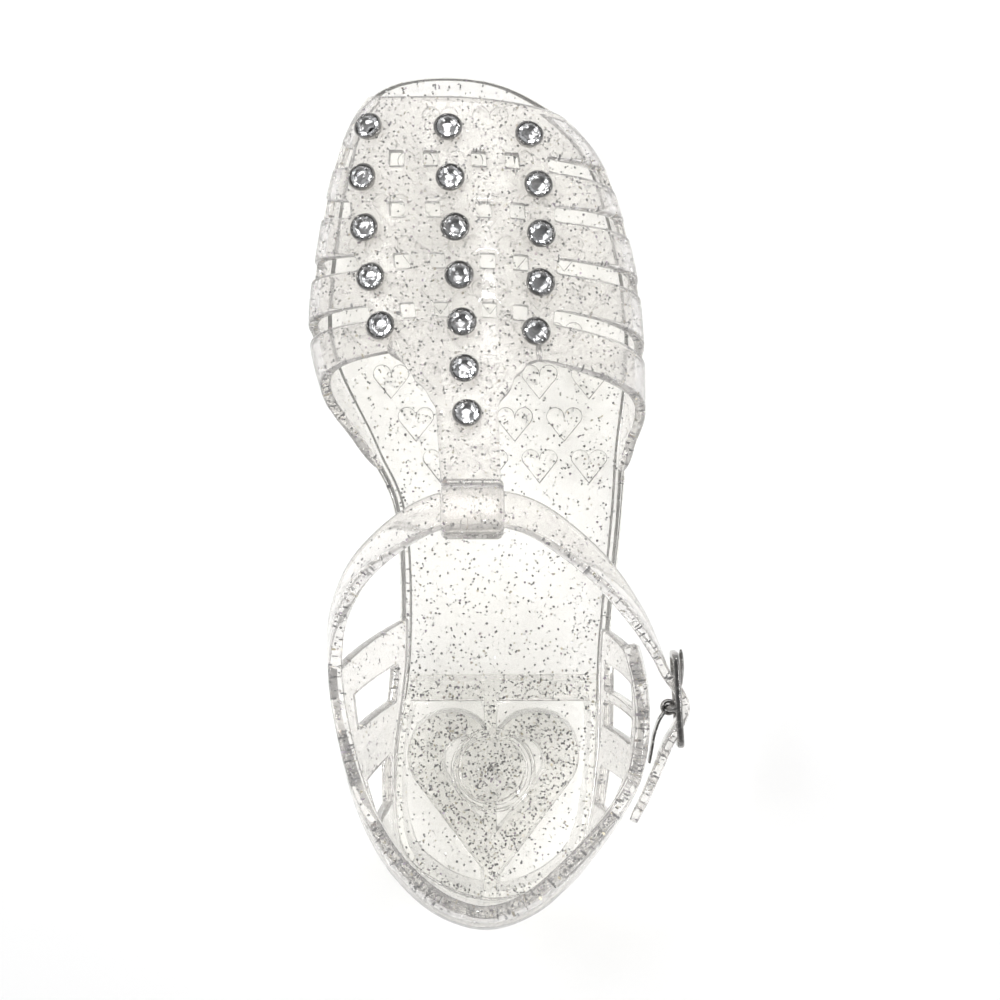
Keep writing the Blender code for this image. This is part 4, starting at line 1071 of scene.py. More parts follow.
def cage_points():
    """Corners of the whole upper sheet, and its cells to leave open."""
    columns, places = fine_columns()
    lines, open_rows = fine_lines()
    grid = [[cage_point(column, line) for column in columns] for line in lines]
    last = lines[-1]
    base = grid[-1]
    for share in REAR_SHARES:
        row = []
        for column, start in zip(columns, base):
            y = start.y + (column.rear_y - start.y) * share
            crown_y = max(last.crown_y + (column.rear_y - last.crown_y) * share, column.rear_y)
            place = line_share(last.crown_y + (REAR_LINE_Y - last.crown_y) * share)
            row.append(arch_point(column_degrees(column, place), y, crown_y))
        grid.append(row)
    open_cells = set()
    for row in open_rows:
        for start, end in HOLES + SLOTS:
            open_cells.update((row, cell) for cell in range(places[start], places[end]))
    first, final = (places[name] for name in TBAR_EDGES)
    throat = grid[-1]
    left, right = throat[first].x, throat[final].x
    for step in range(1, TBAR_STEPS + 1):
        share = step / TBAR_STEPS
        row = []
        for start in throat:
            place = (start.x - left) / (right - left) - 0.5
            y = start.y + (TBAR_END_Y - start.y) * share
            x = start.x + (TBAR_X + place * TBAR_WIDTH - start.x) * share
            z = ridge_point(y)[1] - TBAR_CAMBER * min(abs(2 * place), 1.0) ** 2
            row.append(Vector((x, y, z)))
        grid.append(row)
        for cell in range(len(columns) - 1):
            if not first <= cell < final:
                open_cells.add((len(grid) - 2, cell))
    return grid, open_cells


def sink_foot(item, depth):
    """Let the lower edge of a wall into the rim that it is moulded on to."""
    for vert in item.data.vertices:
        floor = rim_top(vert.co.y) - depth
        vert.co.z = max(vert.co.z, floor)


def sleeve_body():
    """Sleeve at the end of the T-bar, open at both sides for the ankle strap."""
    half = [size / 2 for size in SLEEVE_SIZE]
    body = block([-size for size in half], half, rounding=SLEEVE_ROUNDING, segments=4)
    slot = block(
        (-REACH, -SLOT_LENGTH / 2, -SLOT_THICKNESS / 2),
        (REACH, SLOT_LENGTH / 2, SLOT_THICKNESS / 2), rounding=SLOT_ROUNDING, segments=3,
    )
    place = Matrix.Translation(SLEEVE_CENTRE) @ Matrix.Rotation(-SLEEVE_SLOPE, 4, "X")
    for mesh in (body, slot):
        bmesh.ops.transform(mesh, matrix=place, verts=mesh.verts)
    item = new_object("strap_sleeve", body)
    boolean(item, new_object("sleeve_slot", slot), "DIFFERENCE")
    return item


# Collar, counter and ankle strap


def band_frames(rows, steps):
    """Position, inward lean and thickness direction along the collar and strap."""
    samples = [Band(*row) for row in spline(rows, steps)]
    frames = []
    for index, sample in enumerate(samples):
        before = samples[max(index - 1, 0)]
        after = samples[min(index + 1, len(samples) - 1)]
        along = Vector((after.x - before.x, after.y - before.y, after.z - before.z)).normalized()
        inward = Vector((along.y, -along.x, 0.0)).normalized()
        tilt = math.radians(sample.tilt)
        across = Vector((0.0, 0.0, math.cos(tilt))) + inward * math.sin(tilt)
        across = (across - along * across.dot(along)).normalized()
        frames.append((sample, Vector((sample.x, sample.y, sample.z)), across, across.cross(along)))
    return frames


BAND_FRAMES = band_frames(COLLAR + STRAP, BAND_STEPS)


def rounded_section(half_width, half_wall, steps):
    """Rounded oblong as (across, outwards) pairs."""
    radius = half_wall * BAND_ROUNDNESS
    points = []
    corners = [(1, 1, 0.0), (-1, 1, 90.0), (-1, -1, 180.0), (1, -1, 270.0)]
    for across, outwards, start in corners:
        for step in range(steps + 1):
            turn = math.radians(start + 90.0 * step / steps)
            points.append((
                across * (half_width - radius) + radius * math.cos(turn),
                outwards * (half_wall - radius) + radius * math.sin(turn),
            ))
    return points


def band_body():
    """The collar and the ankle strap as one long band with rounded edges."""
    rings = []
    last = len(BAND_FRAMES) - 1
    for index, (sample, centre, across, outward) in enumerate(BAND_FRAMES):
        trim = BAND_END_TRIM if index in (0, last) else 1.0
        section = rounded_section(sample.width / 2 * trim, sample.thickness / 2 * trim, 3)
        rings.append([centre + across * u + outward * v for u, v in section])
    return closed_tube(rings)


def path_share(points, share):
    """Point at a share of a polyline's length."""
    lengths = [(b - a).length for a, b in zip(points, points[1:])]
    target = share * sum(lengths)
    for start, end, length in zip(points, points[1:], lengths):
        if target <= length:
            return start.lerp(end, target / length)
        target -= length
    return points[-1].copy()


def share_of(points, side, y):
    """Share of a polyline's length where it passes a y on one side of the foot."""
    lengths = [(b - a).length for a, b in zip(points, points[1:])]
    walked = 0.0
    for start, end, length in zip(points, points[1:], lengths):
        low, high = sorted((start.y, end.y))
        if low <= y <= high and start.x * side > 0:
            return (walked + length * (start.y - y) / (start.y - end.y)) / sum(lengths)
        walked += length
    raise ValueError("the path doesn't pass y = %.4f" % y)


def counter_base():
    """The counter's foot on the sole's rim, from the outer side round the heel."""
    loop = [Vector((x, y, 0.0)) for x, y in inset(SOLE_LOOP, COUNTER_INSET)]
    lateral = [p for p in reversed(loop[HALF:]) if p.y < COUNTER_BASE_LATERAL_Y]
    medial = [p for p in reversed(loop[:HALF]) if p.y < COUNTER_BASE_MEDIAL_Y]
    start = Vector((edge_x(LATERAL, COUNTER_BASE_LATERAL_Y) - COUNTER_INSET, COUNTER_BASE_LATERAL_Y, 0))
    end = Vector((edge_x(MEDIAL, COUNTER_BASE_MEDIAL_Y) + COUNTER_INSET, COUNTER_BASE_MEDIAL_Y, 0))
    return [start] + lateral + medial + [end]


def counter_top():
    """The line inside the collar's lower edge that the counter runs up to."""
    points = []
    for sample, centre, across, outward in BAND_FRAMES[: BAND_STEPS * (len(COLLAR) + 1)]:
        in_reach = centre.y < (COUNTER_TOP_LATERAL_Y if centre.x > 0 else COUNTER_TOP_MEDIAL_Y)
        if in_reach:
            drop = across * (sample.width / 2 - COUNTER_TUCK)
            points.append(centre - drop + outward * COUNTER_WALL / 2)
    return points


def counter_points():
    """Corners of the heel counter's sheet, and its cells to leave open as windows."""
    base, top = counter_base(), counter_top()
    shares = {step / COUNTER_STEPS for step in range(COUNTER_STEPS + 1)}
    shares.update((0.006, 0.994))
    spans = []
    support = WINDOW_SUPPORT
    for window in WINDOWS:
        ends = sorted(share_of(base, window.side, y) for y in (window.front, window.rear))
        spans.append(ends)
        marks = [end + move for end in ends for move in (-support, 0.0, support)]
        shares = {share for share in shares if min(abs(share - mark) for mark in marks) > support * 0.9}
        shares.update(marks)
    shares = sorted(shares)
    heights = [0.0, 0.02]
    heights += [WINDOW_LOW - WINDOW_EDGE, WINDOW_LOW, WINDOW_LOW + WINDOW_EDGE, 0.35, 0.55]
    heights += [WINDOW_HIGH - WINDOW_EDGE, WINDOW_HIGH, WINDOW_HIGH + WINDOW_EDGE, 0.9, 1.0]
    grid = []
    for height in heights:
        row = []
        for share in shares:
            foot = path_share(base, share)
            foot.z = rim_top(foot.y) - FOOT_DEPTH
            head = path_share(top, share)
            out = Vector((head.x, head.y - 0.01, 0.0)).normalized()
            row.append(foot.lerp(head, height) + out * COUNTER_BULGE * math.sin(math.pi * height))
        grid.append(row)
    low, high = heights.index(WINDOW_LOW), heights.index(WINDOW_HIGH)
    open_cells = set()
    for start, end in spans:
        for column, share in enumerate(shares):
            if start - 1e-9 <= share < end - 1e-9:
                open_cells.update((row, column) for row in range(low, high))
    return grid, open_cells


def soft_wall(name, mesh, thickness, levels):
    """Moulded wall from a sheet: thickened inwards, with soft edges."""
    item = new_object(name, mesh)
    wall = item.modifiers.new("Wall", "SOLIDIFY")
    wall.thickness = thickness
    wall.offset = -1.0
    wall.use_even_offset = False
    soft = item.modifiers.new("Soft edges", "SUBSURF")
    soft.levels = levels
    soft.render_levels = levels
    bake(item)
    return item


def strap_holes():
    """Holes in the strap: the one that the prong is in, and spare ones along the tail."""
    middle = BUCKLE_CENTRE[2]
    start, end = PRONG_HOLE_X
    mesh = block(
        (start, PRONG_HOLE_Y - PRONG_HOLE_LENGTH / 2, middle - PRONG_HOLE_HEIGHT / 2),
        (end, PRONG_HOLE_Y + PRONG_HOLE_LENGTH / 2, middle + PRONG_HOLE_HEIGHT / 2),
        rounding=PRONG_HOLE_ROUNDING,
    )
    x, y, z = SPARE_HOLE_FIRST
    for hole in range(SPARE_HOLES):
        place = Matrix.Translation((x, y - hole * SPARE_HOLE_PITCH, z))
        bmesh.ops.create_cone(
            mesh, cap_ends=True, segments=24, radius1=SPARE_HOLE_RADIUS, radius2=SPARE_HOLE_RADIUS,
            depth=SPARE_HOLE_DEPTH, matrix=place @ Matrix.Rotation(math.pi / 2, 4, "Y"),
        )
    return new_object("strap_holes", mesh)


# Buckle


def wire(points, radius, sides, steps):
    """Round wire along a smooth line through points, with domed ends."""
    line = [Vector(point) for point in spline(points, steps)]
    rings = []
    ahead = None
    for index, centre in enumerate(line):
        before = line[max(index - 1, 0)]
        after = line[min(index + 1, len(line) - 1)]
        along = (after - before).normalized()
        if ahead is None:
            ahead = along.orthogonal().normalized()
        ahead = (ahead - along * ahead.dot(along)).normalized()
        beside = along.cross(ahead)
        size = radius * (WIRE_END_TRIM if index in (0, len(line) - 1) else 1.0)
        rings.append([
            centre + (ahead * math.cos(turn) + beside * math.sin(turn)) * size
            for turn in (math.tau * side / sides for side in range(sides))
        ])
    return closed_tube(rings)


def frame_body():
    """Flat buckle frame with rounded corners and one window, and the bar cranked in behind it."""
    half_length, half_height = BUCKLE_LENGTH / 2, BUCKLE_HEIGHT / 2
    inner_length, inner_height = half_length - BUCKLE_RAIL, half_height - BUCKLE_RAIL
    outer = plate(
        (-BUCKLE_THICKNESS / 2, -half_length, -half_height),
        (BUCKLE_THICKNESS / 2, half_length, half_height), BUCKLE_CORNER, 6,
    )
    window = plate(
        (-NEAR_REACH, -inner_length, -inner_height), (NEAR_REACH, inner_length, inner_height),
        BUCKLE_WINDOW_CORNER, 4,
    )
    item = new_object("buckle", outer)
    boolean(item, new_object("buckle_window", window), "DIFFERENCE")
    round_edges(item, BUCKLE_EDGE, 3)
    turn = Matrix.Translation(BUCKLE_CENTRE) @ Matrix.Rotation(BUCKLE_TURN, 4, "Z")
    item.data.transform(turn)
    rail_x = BUCKLE_CENTRE[0] - (BAR_Y - BUCKLE_CENTRE[1]) * math.tan(BUCKLE_TURN)
    reach = half_height - BUCKLE_RAIL / 2
    middle = BUCKLE_CENTRE[2]
    route = [
        (rail_x, BAR_Y, middle - reach), (BAR_X, BAR_Y, middle - BAR_STRAIGHT),
        (BAR_X, BAR_Y, middle + BAR_STRAIGHT), (rail_x, BAR_Y, middle + reach),
    ]
    bar = new_object("centre_bar", wire(route, BAR_RADIUS, 20, 8))
    boolean(item, bar, "UNION")
    return item


def loop_points(radius, start_deg, end_deg, steps):
    """Points round the centre bar, in plan."""
    points = []
    for step in range(steps + 1):
        turn = math.radians(start_deg + (end_deg - start_deg) * step / steps)
        points.append((BAR_X + radius * math.cos(turn), BAR_Y + radius * math.sin(turn)))
    return points


def anchor_body():
    """Leaf that loops round the centre bar and lies on the collar, notched for the prong."""
    route = [(0.0381, 0.0048), (0.0388, 0.0085), (0.0393, 0.0115), (0.0405, 0.0150)]
    route += loop_points(LEAF_LOOP_RADIUS, 225.0, -60.0, 10)
    route = spline(route, 3)
    middle = BUCKLE_CENTRE[2]
    heights = [-LEAF_HEIGHT / 2, -LEAF_NOTCH / 2, LEAF_NOTCH / 2, LEAF_HEIGHT / 2]
    grid = [[Vector((x, y, middle + height)) for x, y in route] for height in heights]
    notch = {(1, column) for column in range(LEAF_NOTCH_START, len(route) - 1)}
    item = new_object("buckle_leaf", grid_sheet(grid, notch))
    wall = item.modifiers.new("Wall", "SOLIDIFY")
    wall.thickness = LEAF_THICKNESS
    wall.offset = 0.0
    round_edges(item, LEAF_EDGE, 2)
    return item


def prong_body():
    """Prong: an open loop on the centre bar, out through the strap and on to the front rail."""
    route = loop_points(PRONG_LOOP_RADIUS, 40.0, 330.0, 12)[::-1]
    route += [(0.0446, 0.0208), (0.0456, 0.0235), (0.0460, 0.0275), (0.0457, 0.0318)]
    middle = BUCKLE_CENTRE[2]
    return new_object("buckle_pin", wire([(x, y, middle) for x, y in route], PRONG_RADIUS, 16, 3))


# Stones


def stone_line(crown_y):
    """Cross line through the middle of a strap, between the openings before and behind it."""
    lines = CAGE_LINES + [Line(REAR_LINE_Y, 0.0735, 0.0735, 0.0, 0.0, 0.0)]
    for front, rear in zip(lines, lines[1:]):
        if rear.crown_y <= crown_y <= front.crown_y:
            return between(front, rear, (front.crown_y - crown_y) / (front.crown_y - rear.crown_y))
    raise ValueError("no strap at y = %.4f" % crown_y)


def moved(line, distance):
    """A line moved along the foot, towards the toe."""
    return line._replace(
        crown_y=line.crown_y + distance, medial_y=line.medial_y + distance,
        lateral_y=line.lateral_y + distance,
    )


def surface_frame(column, line):
    """Point on the cage and its outward normal, from nearby points."""
    here = cage_point(column, line)
    wider = column._replace(
        front_deg=column.front_deg + NORMAL_TURN, rear_deg=column.rear_deg + NORMAL_TURN
    )
    ahead = moved(line, NORMAL_STEP)
    outwards = cage_point(wider, line) - here
    forwards = cage_point(column, ahead) - here
    return here, outwards.cross(forwards).normalized()


def stone_places():
    """Centre and outward normal of every stone, in the order of the solids."""
    places = []
    for crown_y in STONE_ROWS:
        for front_deg, rear_deg, shift in STONE_BARS:
            line = moved(stone_line(crown_y), shift)
            places.append(surface_frame(Column("stone", front_deg, rear_deg, 0.0), line))
        places.append(surface_frame(Column("ridge", 90.0, 90.0, 0.0), stone_line(crown_y)))
    for crown_y in TBAR_STONE_ROWS:
        x, z = ridge_point(crown_y)
        here = Vector((x, crown_y, z))
        ahead_y = crown_y + TBAR_NORMAL_STEP
        ahead_x, ahead_z = ridge_point(ahead_y)
        along = (Vector((ahead_x, ahead_y, ahead_z)) - here).normalized()
        places.append((here, Vector((1.0, 0.0, 0.0)).cross(along).normalized()))
    return places


def cup_body(radius, height):
    """Turned cup with a rolled lip and a dished seat, its foot sunk a little below z = 0."""
    lip = CUP_LIP
    profile = [(0.0, CUP_FOOT), (radius * 0.80, CUP_FOOT), (radius * 0.86, 0.0)]
    profile += [(radius * 0.95, height * 0.45), (radius * 0.995, height * 0.8)]
    for step in range(7):
        turn = math.radians(180.0 * step / 6)
        profile.append((radius - lip + lip * math.cos(turn), height + lip * math.sin(turn)))
    profile += [
        (radius - 2.15 * lip, height - 0.0003),
        (radius * 0.62, 0.00075),
        (radius * 0.42, 0.0005),
        (0.0, 0.0005),
    ]
    return turned(profile, 40)


def stone_body(radius, crown, depth):
    """Cut stone: a flat table, star and kite facets, a thin girdle and a truncated lower cone."""
    levels = [
        (radius * 0.50, 0.0, 8, 0.0),
        (radius * 0.985, depth * 0.88, 16, 0.25),
        (radius, depth, 16, 0.25),
        (radius * 0.80, depth + crown * 0.56, 8, 0.5),
        (radius * 0.52, depth + crown, 8, 0.0),
    ]
    mesh = bmesh.new()
    for ring_radius, height, sides, offset in levels:
        for step in range(sides):
            turn = math.tau * (step + offset) / sides
            mesh.verts.new((ring_radius * math.cos(turn), ring_radius * math.sin(turn), height))
    bmesh.ops.convex_hull(mesh, input=mesh.verts[:])
    bmesh.ops.recalc_face_normals(mesh, faces=mesh.faces[:])
    return mesh


# Glitter


def flake_template(radius, thickness):
    """One thin six-sided flake, as arrays of places and of corners of its faces."""
    mesh = bmesh.new()
    bmesh.ops.create_cone(
        mesh, cap_ends=True, segments=6, radius1=radius, radius2=radius, depth=thickness
    )
    bmesh.ops.triangulate(mesh, faces=mesh.faces[:])
    mesh.verts.index_update()
    verts = np.array([vert.co[:] for vert in mesh.verts])
    faces = np.array([[vert.index for vert in face.verts] for face in mesh.faces])
    mesh.free()
    return verts, faces


def inside_points(item, count, margin, deepest, seed):
    """Points inside a body, down to a depth below its surface, spread evenly over it."""
    random = np.random.default_rng(seed)
    mesh = bmesh.new()
    mesh.from_mesh(item.data)
    tree = BVHTree.FromBMesh(mesh)
    mesh.free()
    data = item.data
    data.calc_loop_triangles()
    total = len(data.loop_triangles)
    corners = np.empty(total * 3, dtype=np.int32)
    data.loop_triangles.foreach_get("vertices", corners)
    places = np.empty(len(data.vertices) * 3)
    data.vertices.foreach_get("co", places)
    triangles = places.reshape(-1, 3)[corners.reshape(-1, 3)]
    cross = np.cross(triangles[:, 1] - triangles[:, 0], triangles[:, 2] - triangles[:, 0])
    area = np.linalg.norm(cross, axis=1)
    normals = cross / np.maximum(area, 1e-18)[:, None]
    points = []
    while len(points) < count:
        picks = random.choice(total, size=count, p=area / area.sum())
        shares = random.random((count, 2))
        fold = shares.sum(axis=1) > 1
        shares[fold] = 1 - shares[fold]
        sides = triangles[picks]
        spots = sides[:, 0] + (sides[:, 1] - sides[:, 0]) * shares[:, :1]
        spots += (sides[:, 2] - sides[:, 0]) * shares[:, 1:]
        spots -= normals[picks] * random.uniform(margin, deepest, (count, 1))
        for spot in spots:
            near, normal, _, distance = tree.find_nearest(Vector(spot))
            if distance > margin * MARGIN_SHARE and (Vector(spot) - near).dot(normal) < 0:
                points.append(spot)
    return np.array(points[:count])


def flake_cloud(name, points, sizes, seed):
    """Flakes at points, each turned its own way, with a random value kept as an attribute that picks its
    painted shade, tint or painted glint.
    """
    random = np.random.default_rng(seed)
    verts, faces = flake_template(1.0, FLAKE_THICKNESS)
    count = len(points)
    quats = random.normal(size=(count, 4))
    quats /= np.linalg.norm(quats, axis=1)[:, None]
    w, x, y, z = quats.T
    turns = np.array([
        [1 - 2 * (y * y + z * z), 2 * (x * y - z * w), 2 * (x * z + y * w)],
        [2 * (x * y + z * w), 1 - 2 * (x * x + z * z), 2 * (y * z - x * w)],
        [2 * (x * z - y * w), 2 * (y * z + x * w), 1 - 2 * (x * x + y * y)],
    ]).transpose(2, 0, 1)
    scale = random.uniform(sizes[0], sizes[1], count)
    places = np.einsum("nij,vj->nvi", turns, verts) * scale[:, None, None] + points[:, None, :]
    corners = faces[None, :, :] + (np.arange(count) * len(verts))[:, None, None]
    data = bpy.data.meshes.new(name)
    data.from_pydata(places.reshape(-1, 3).tolist(), [], corners.reshape(-1, 3).tolist())
    # Random value per flake, which picks its painted shade, tint or painted glint
    shade = data.attributes.new(FLAKE_PAINTED_LIGHT, "FLOAT", "POINT")
    shade.data.foreach_set("value", np.repeat(random.random(count), len(verts)).astype(np.float32))
    return add_object(name, data)


# Stage


def pale_floor():
    """Matt floor, which is no part of the sandal."""
    mesh = bmesh.new()
    bmesh.ops.create_grid(mesh, x_segments=4, y_segments=4, size=FLOOR_SIZE)
    bmesh.ops.translate(mesh, vec=FLOOR_CENTRE, verts=mesh.verts)
    floor = new_object("floor", mesh)
    material, nodes, links, shader = node_material("white_sweep")
    cloud = noise(nodes, links, 6.0, 2.0)
    graded(nodes, links, cloud, [(0.3, 0.93), (0.7, 0.95)], shader.inputs["Base Color"])
    set_values(shader, {"Roughness": 0.9, "Specular IOR Level": 0.1})
    floor.data.materials.append(material)


def soft_sky():
    """World that is brighter at the sides than overhead."""
    world = bpy.data.worlds.new("studio")
    world.use_nodes = True
    nodes, links = world.node_tree.nodes, world.node_tree.links
    sky = nodes["Background"]
    direction = nodes.new("ShaderNodeTexCoord")
    split = nodes.new("ShaderNodeSeparateXYZ")
    links.new(direction.outputs["Generated"], split.inputs["Vector"])
    graded(nodes, links, split.outputs["Z"], SKY_BY_HEIGHT, sky.inputs["Color"])
    set_values(sky, {"Strength": SKY_STRENGTH})
    return world


def aimed_lamp(name, place, size, power, glossy):
    """Round lamp that aims at the sandal. Only a glossy one is mirrored in it."""
    light = bpy.data.lights.new(name, "AREA")
    light.shape = "DISK"
    light.size = size
    light.energy = power
    lamp = add_object(name, light)
    lamp.location = place
    aim = Vector(LAMP_TARGET) - Vector(place)
    lamp.rotation_euler = aim.to_track_quat("-Z", "Y").to_euler()
    lamp.visible_glossy = glossy


def overhead_camera():
    lens = bpy.data.cameras.new("overhead")
    lens.sensor_width = SENSOR_WIDTH
    lens.lens = SENSOR_WIDTH * CAMERA_PLACE[2] / VIEW_WIDTH
    lens.clip_start = 0.01
    camera = add_object("overhead", lens)
    camera.location = CAMERA_PLACE
    return camera


# Settings


def length(name, description, value):
    return FloatProperty(name=name, description=description, default=value, unit="LENGTH")


def number(name, description, value):
    return IntProperty(name=name, description=description, default=value)


def colour(name, description, red, green, blue):
    return FloatVectorProperty(
        name=name, description=description, size=4, subtype="COLOR",
        default=(red, green, blue, 1.0), min=0.0, max=1.0,
    )


class SandalSizes(bpy.types.PropertyGroup):
    cage_wall: length("Cage wall", "Thickness of the cage and T-bar", 0.0026)
    sole_rounding: length("Sole rounding", "Radius on the sole's outer edges", 0.0010)
    core_rounding: length("Coring rounding", "Radius in the heel's hollows", 0.0006)
    lug_chamfer: length("Lug chamfer", "Chamfer round the foot of each heart lug", 0.0008)
    stone_radius: length("Stone radius", "Radius of each stone at its girdle", 0.0029)
    cup_radius: length("Cup radius", "Outer radius of each stone's cup", 0.0036)
    cup_height: length("Cup height", "Height of each cup's lip", 0.0016)
    flake_small: length("Smallest flake", "Radius of the smallest flake", 0.00018)
    flake_large: length("Largest flake", "Radius of the largest flake", 0.00038)
    sole_flakes: number("Flakes in the sole", "Number of flakes in each of the sole's clouds", 3800)
    upper_flakes: number("Flakes in the upper", "Number of flakes in the cage and T-bar", 4400)
    strap_flakes: number("Flakes in the collar", "Number of flakes in the collar and strap", 2600)


class SandalColours(bpy.types.PropertyGroup):
    sole_tint: colour("Sole tint", "Tint of the sole's clear PVC", 0.895, 0.888, 0.875)
    upper_tint: colour(
        "Upper tint", "Tint of the milky PVC of the cage, collar and strap", 0.874, 0.860, 0.841
    )
    pvc_depth: colour("PVC depth", "Colour that thick PVC turns light to", 0.66, 0.645, 0.60)
    metal_tint: colour("Metal", "Colour of the cups and buckle", 0.48, 0.47, 0.46)
    stone_tint: colour("Stones", "Tint of the cut stones", 0.93, 0.95, 0.98)
    # Painted shade: dark grey that stands in for silver flakes turned away from the light
    flake_painted_shade: colour("Dark flakes", "Colour of flakes turned from the light", 0.20, 0.20, 0.21)
    flake_violet: colour("Violet flakes", "Colour of the few violet flakes", 0.42, 0.34, 0.46)
    flake_gold: colour("Gold flakes", "Colour of the few warm flakes", 0.60, 0.54, 0.40)
    # Painted glint: near white that stands in for silver flakes that catch the light
    flake_painted_glint: colour("Bright flakes", "Colour of flakes that catch the light", 0.90, 0.90, 0.92)


# Operators


class SANDAL_OT_sole(bpy.types.Operator):
    """Model the moulded sole with its cored heel and heart lugs"""
    bl_idname = "sandal.sole"
    bl_label = "Sole"

    def execute(self, context):
        sizes = context.scene.sandal_sizes
        sole = new_object("outsole", sole_body(sizes.sole_rounding))
        boolean(sole, heel_core(sizes.core_rounding), "DIFFERENCE")
        boolean(sole, insole_rings(), "DIFFERENCE")
        boolean(sole, heart_lugs(sizes.lug_chamfer), "UNION")
        clear_slivers(sole)
        smooth(sole, 32)
        tint = context.scene.sandal_colours.sole_tint
        finish_piece(sole, pvc_material("pvc_sole", tint, 0.93, 16.0), ["sole"])
        return {"FINISHED"}


class SANDAL_OT_front_upper(bpy.types.Operator):
    """Model the pierced cage, the T-bar and its sleeve"""
    bl_idname = "sandal.front_upper"
    bl_label = "Cage and T-bar"

    def execute(self, context):
        sizes = context.scene.sandal_sizes
        points, open_cells = cage_points()
        cage = soft_wall("cage", grid_sheet(points, open_cells), sizes.cage_wall, 2)
        sink_foot(cage, FOOT_DEPTH)
        boolean(cage, sleeve_body(), "UNION")
        smooth(cage, 50)
        tint = context.scene.sandal_colours.upper_tint
        finish_piece(cage, pvc_material("pvc_cage", tint, 0.85, 0.0), ["front_upper"])
        return {"FINISHED"}


class SANDAL_OT_rear_upper(bpy.types.Operator):
    """Model the heel counter, the collar and the ankle strap"""
    bl_idname = "sandal.rear_upper"
    bl_label = "Collar and ankle strap"

    def execute(self, context):
        points, open_cells = counter_points()
        band = new_object("collar_and_strap", band_body())
        counter = soft_wall("counter", grid_sheet(points, open_cells), COUNTER_WALL, 2)
        sink_foot(counter, FOOT_DEPTH)
        boolean(band, counter, "UNION")
        boolean(band, strap_holes(), "DIFFERENCE")
        clear_slivers(band)
        smooth(band, 50)
        tint = context.scene.sandal_colours.upper_tint
        finish_piece(band, pvc_material("pvc_collar", tint, 0.85, 0.0), ["rear_upper"])
        return {"FINISHED"}


class SANDAL_OT_buckle(bpy.types.Operator):
    """Model the buckle's frame, leaf and prong"""
    bl_idname = "sandal.buckle"
    bl_label = "Buckle"

    def execute(self, context):
        metal = metal_material("buckle_plating", 0.14, 0.30, 0.05)
        pieces = [
            (frame_body(), "buckle_frame"),
            (anchor_body(), "buckle_anchor"),
            (prong_body(), "buckle_prong"),
        ]
        for item, node in pieces:
            smooth(item, 40)
            finish_piece(item, metal, [node])
        return {"FINISHED"}


class SANDAL_OT_stones(bpy.types.Operator):
    """Model the cut stones in their metal cups"""
    bl_idname = "sandal.stones"
    bl_label = "Stones and cups"

    def execute(self, context):
        sizes = context.scene.sandal_sizes
        metal = metal_material("cup_plating", 0.10, 0.22, 0.04)
        crystal = stone_material()
        for number, (place, normal) in enumerate(stone_places(), start=1):
            turn = normal.to_track_quat("Z", "Y").to_matrix().to_4x4()
            spin = Matrix.Rotation(STONE_TURN * number, 4, "Z")
            cup = new_object("cup_%02d" % number, cup_body(sizes.cup_radius, sizes.cup_height))
            cup.data.transform(Matrix.Translation(place + normal * CUP_SEAT) @ turn)
            smooth(cup, 45)
            finish_piece(cup, metal, ["stone_cup_%02d" % number])
            cut = stone_body(sizes.stone_radius, STONE_CROWN, STONE_DEPTH)
            stone = new_object("crystal_%02d" % number, cut)
            stone.data.transform(Matrix.Translation(place + normal * STONE_SEAT) @ turn @ spin)
            finish_piece(stone, crystal, ["stone_%02d" % number])
        return {"FINISHED"}


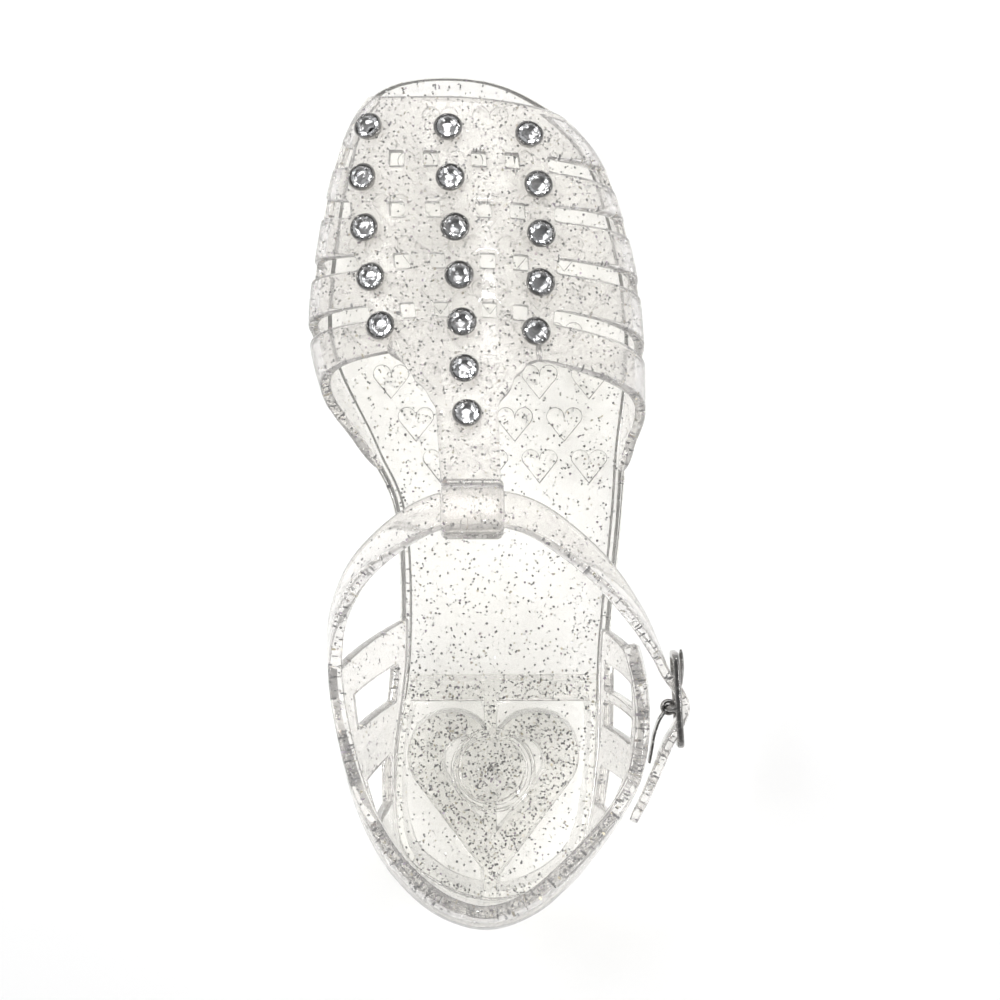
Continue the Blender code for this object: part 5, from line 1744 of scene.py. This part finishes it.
class SANDAL_OT_glitter(bpy.types.Operator):
    """Fill the moulded walls with silver flakes"""
    bl_idname = "sandal.glitter"
    bl_label = "Glitter"

    def execute(self, context):
        sizes = context.scene.sandal_sizes
        silver = flake_material()
        spread = (sizes.flake_small, sizes.flake_large)
        # Both clouds of the sole cover its whole length. The second reaches deeper.
        rows = [
            ("glitter_sole_fore", "outsole", sizes.sole_flakes, 0.0085, 11, "pvc_sole"),
            ("glitter_sole_heel", "outsole", sizes.sole_flakes, 0.0160, 12, "pvc_sole"),
            ("glitter_cage", "cage", sizes.upper_flakes, 0.0016, 13, "pvc_upper"),
            ("glitter_collar", "collar_and_strap", sizes.strap_flakes, 0.0030, 14, "pvc_upper"),
        ]
        for name, source, count, deepest, seed, slot in rows:
            body = bpy.data.objects[source]
            points = inside_points(body, count, FLAKE_MARGIN, deepest, seed)
            flakes = flake_cloud(name, points, spread, seed + 50)
            finish_piece(flakes, silver, [])
        return {"FINISHED"}


class SANDAL_OT_stage(bpy.types.Operator):
    """Set up the pale floor, the soft light and the overhead camera"""
    bl_idname = "sandal.stage"
    bl_label = "Stage"

    def execute(self, context):
        scene = context.scene
        pale_floor()
        scene.world = soft_sky()
        for lamp in LAMPS:
            aimed_lamp(*lamp)
        scene.camera = overhead_camera()
        scene.view_settings.view_transform = "Standard"
        for name, count in BOUNCES.items():
            setattr(scene.cycles, name, count)
        return {"FINISHED"}


OPERATORS = [
    SANDAL_OT_stage,
    SANDAL_OT_sole,
    SANDAL_OT_front_upper,
    SANDAL_OT_rear_upper,
    SANDAL_OT_buckle,
    SANDAL_OT_stones,
    SANDAL_OT_glitter,
]


class SANDAL_PT_panel(bpy.types.Panel):
    """Sizes, colours and build steps of the sandal"""
    bl_label = "Jelly sandal"
    bl_idname = "SANDAL_PT_panel"
    bl_space_type = "VIEW_3D"
    bl_region_type = "UI"
    bl_category = "Sandal"

    def draw(self, context):
        layout = self.layout
        for group in (context.scene.sandal_sizes, context.scene.sandal_colours):
            for name in group.__annotations__:
                layout.prop(group, name)
        for operator in OPERATORS:
            layout.operator(operator.bl_idname)


CLASSES = [SandalSizes, SandalColours] + OPERATORS + [SANDAL_PT_panel]


def register():
    for item in CLASSES:
        bpy.utils.register_class(item)
    bpy.types.Scene.sandal_sizes = PointerProperty(type=SandalSizes)
    bpy.types.Scene.sandal_colours = PointerProperty(type=SandalColours)


def unregister():
    del bpy.types.Scene.sandal_colours
    del bpy.types.Scene.sandal_sizes
    for item in reversed(CLASSES):
        bpy.utils.unregister_class(item)


def main():
    register()
    bpy.ops.sandal.stage()
    bpy.ops.sandal.sole()
    bpy.ops.sandal.front_upper()
    bpy.ops.sandal.rear_upper()
    bpy.ops.sandal.buckle()
    bpy.ops.sandal.stones()
    bpy.ops.sandal.glitter()


if __name__ == "__main__":
    main()
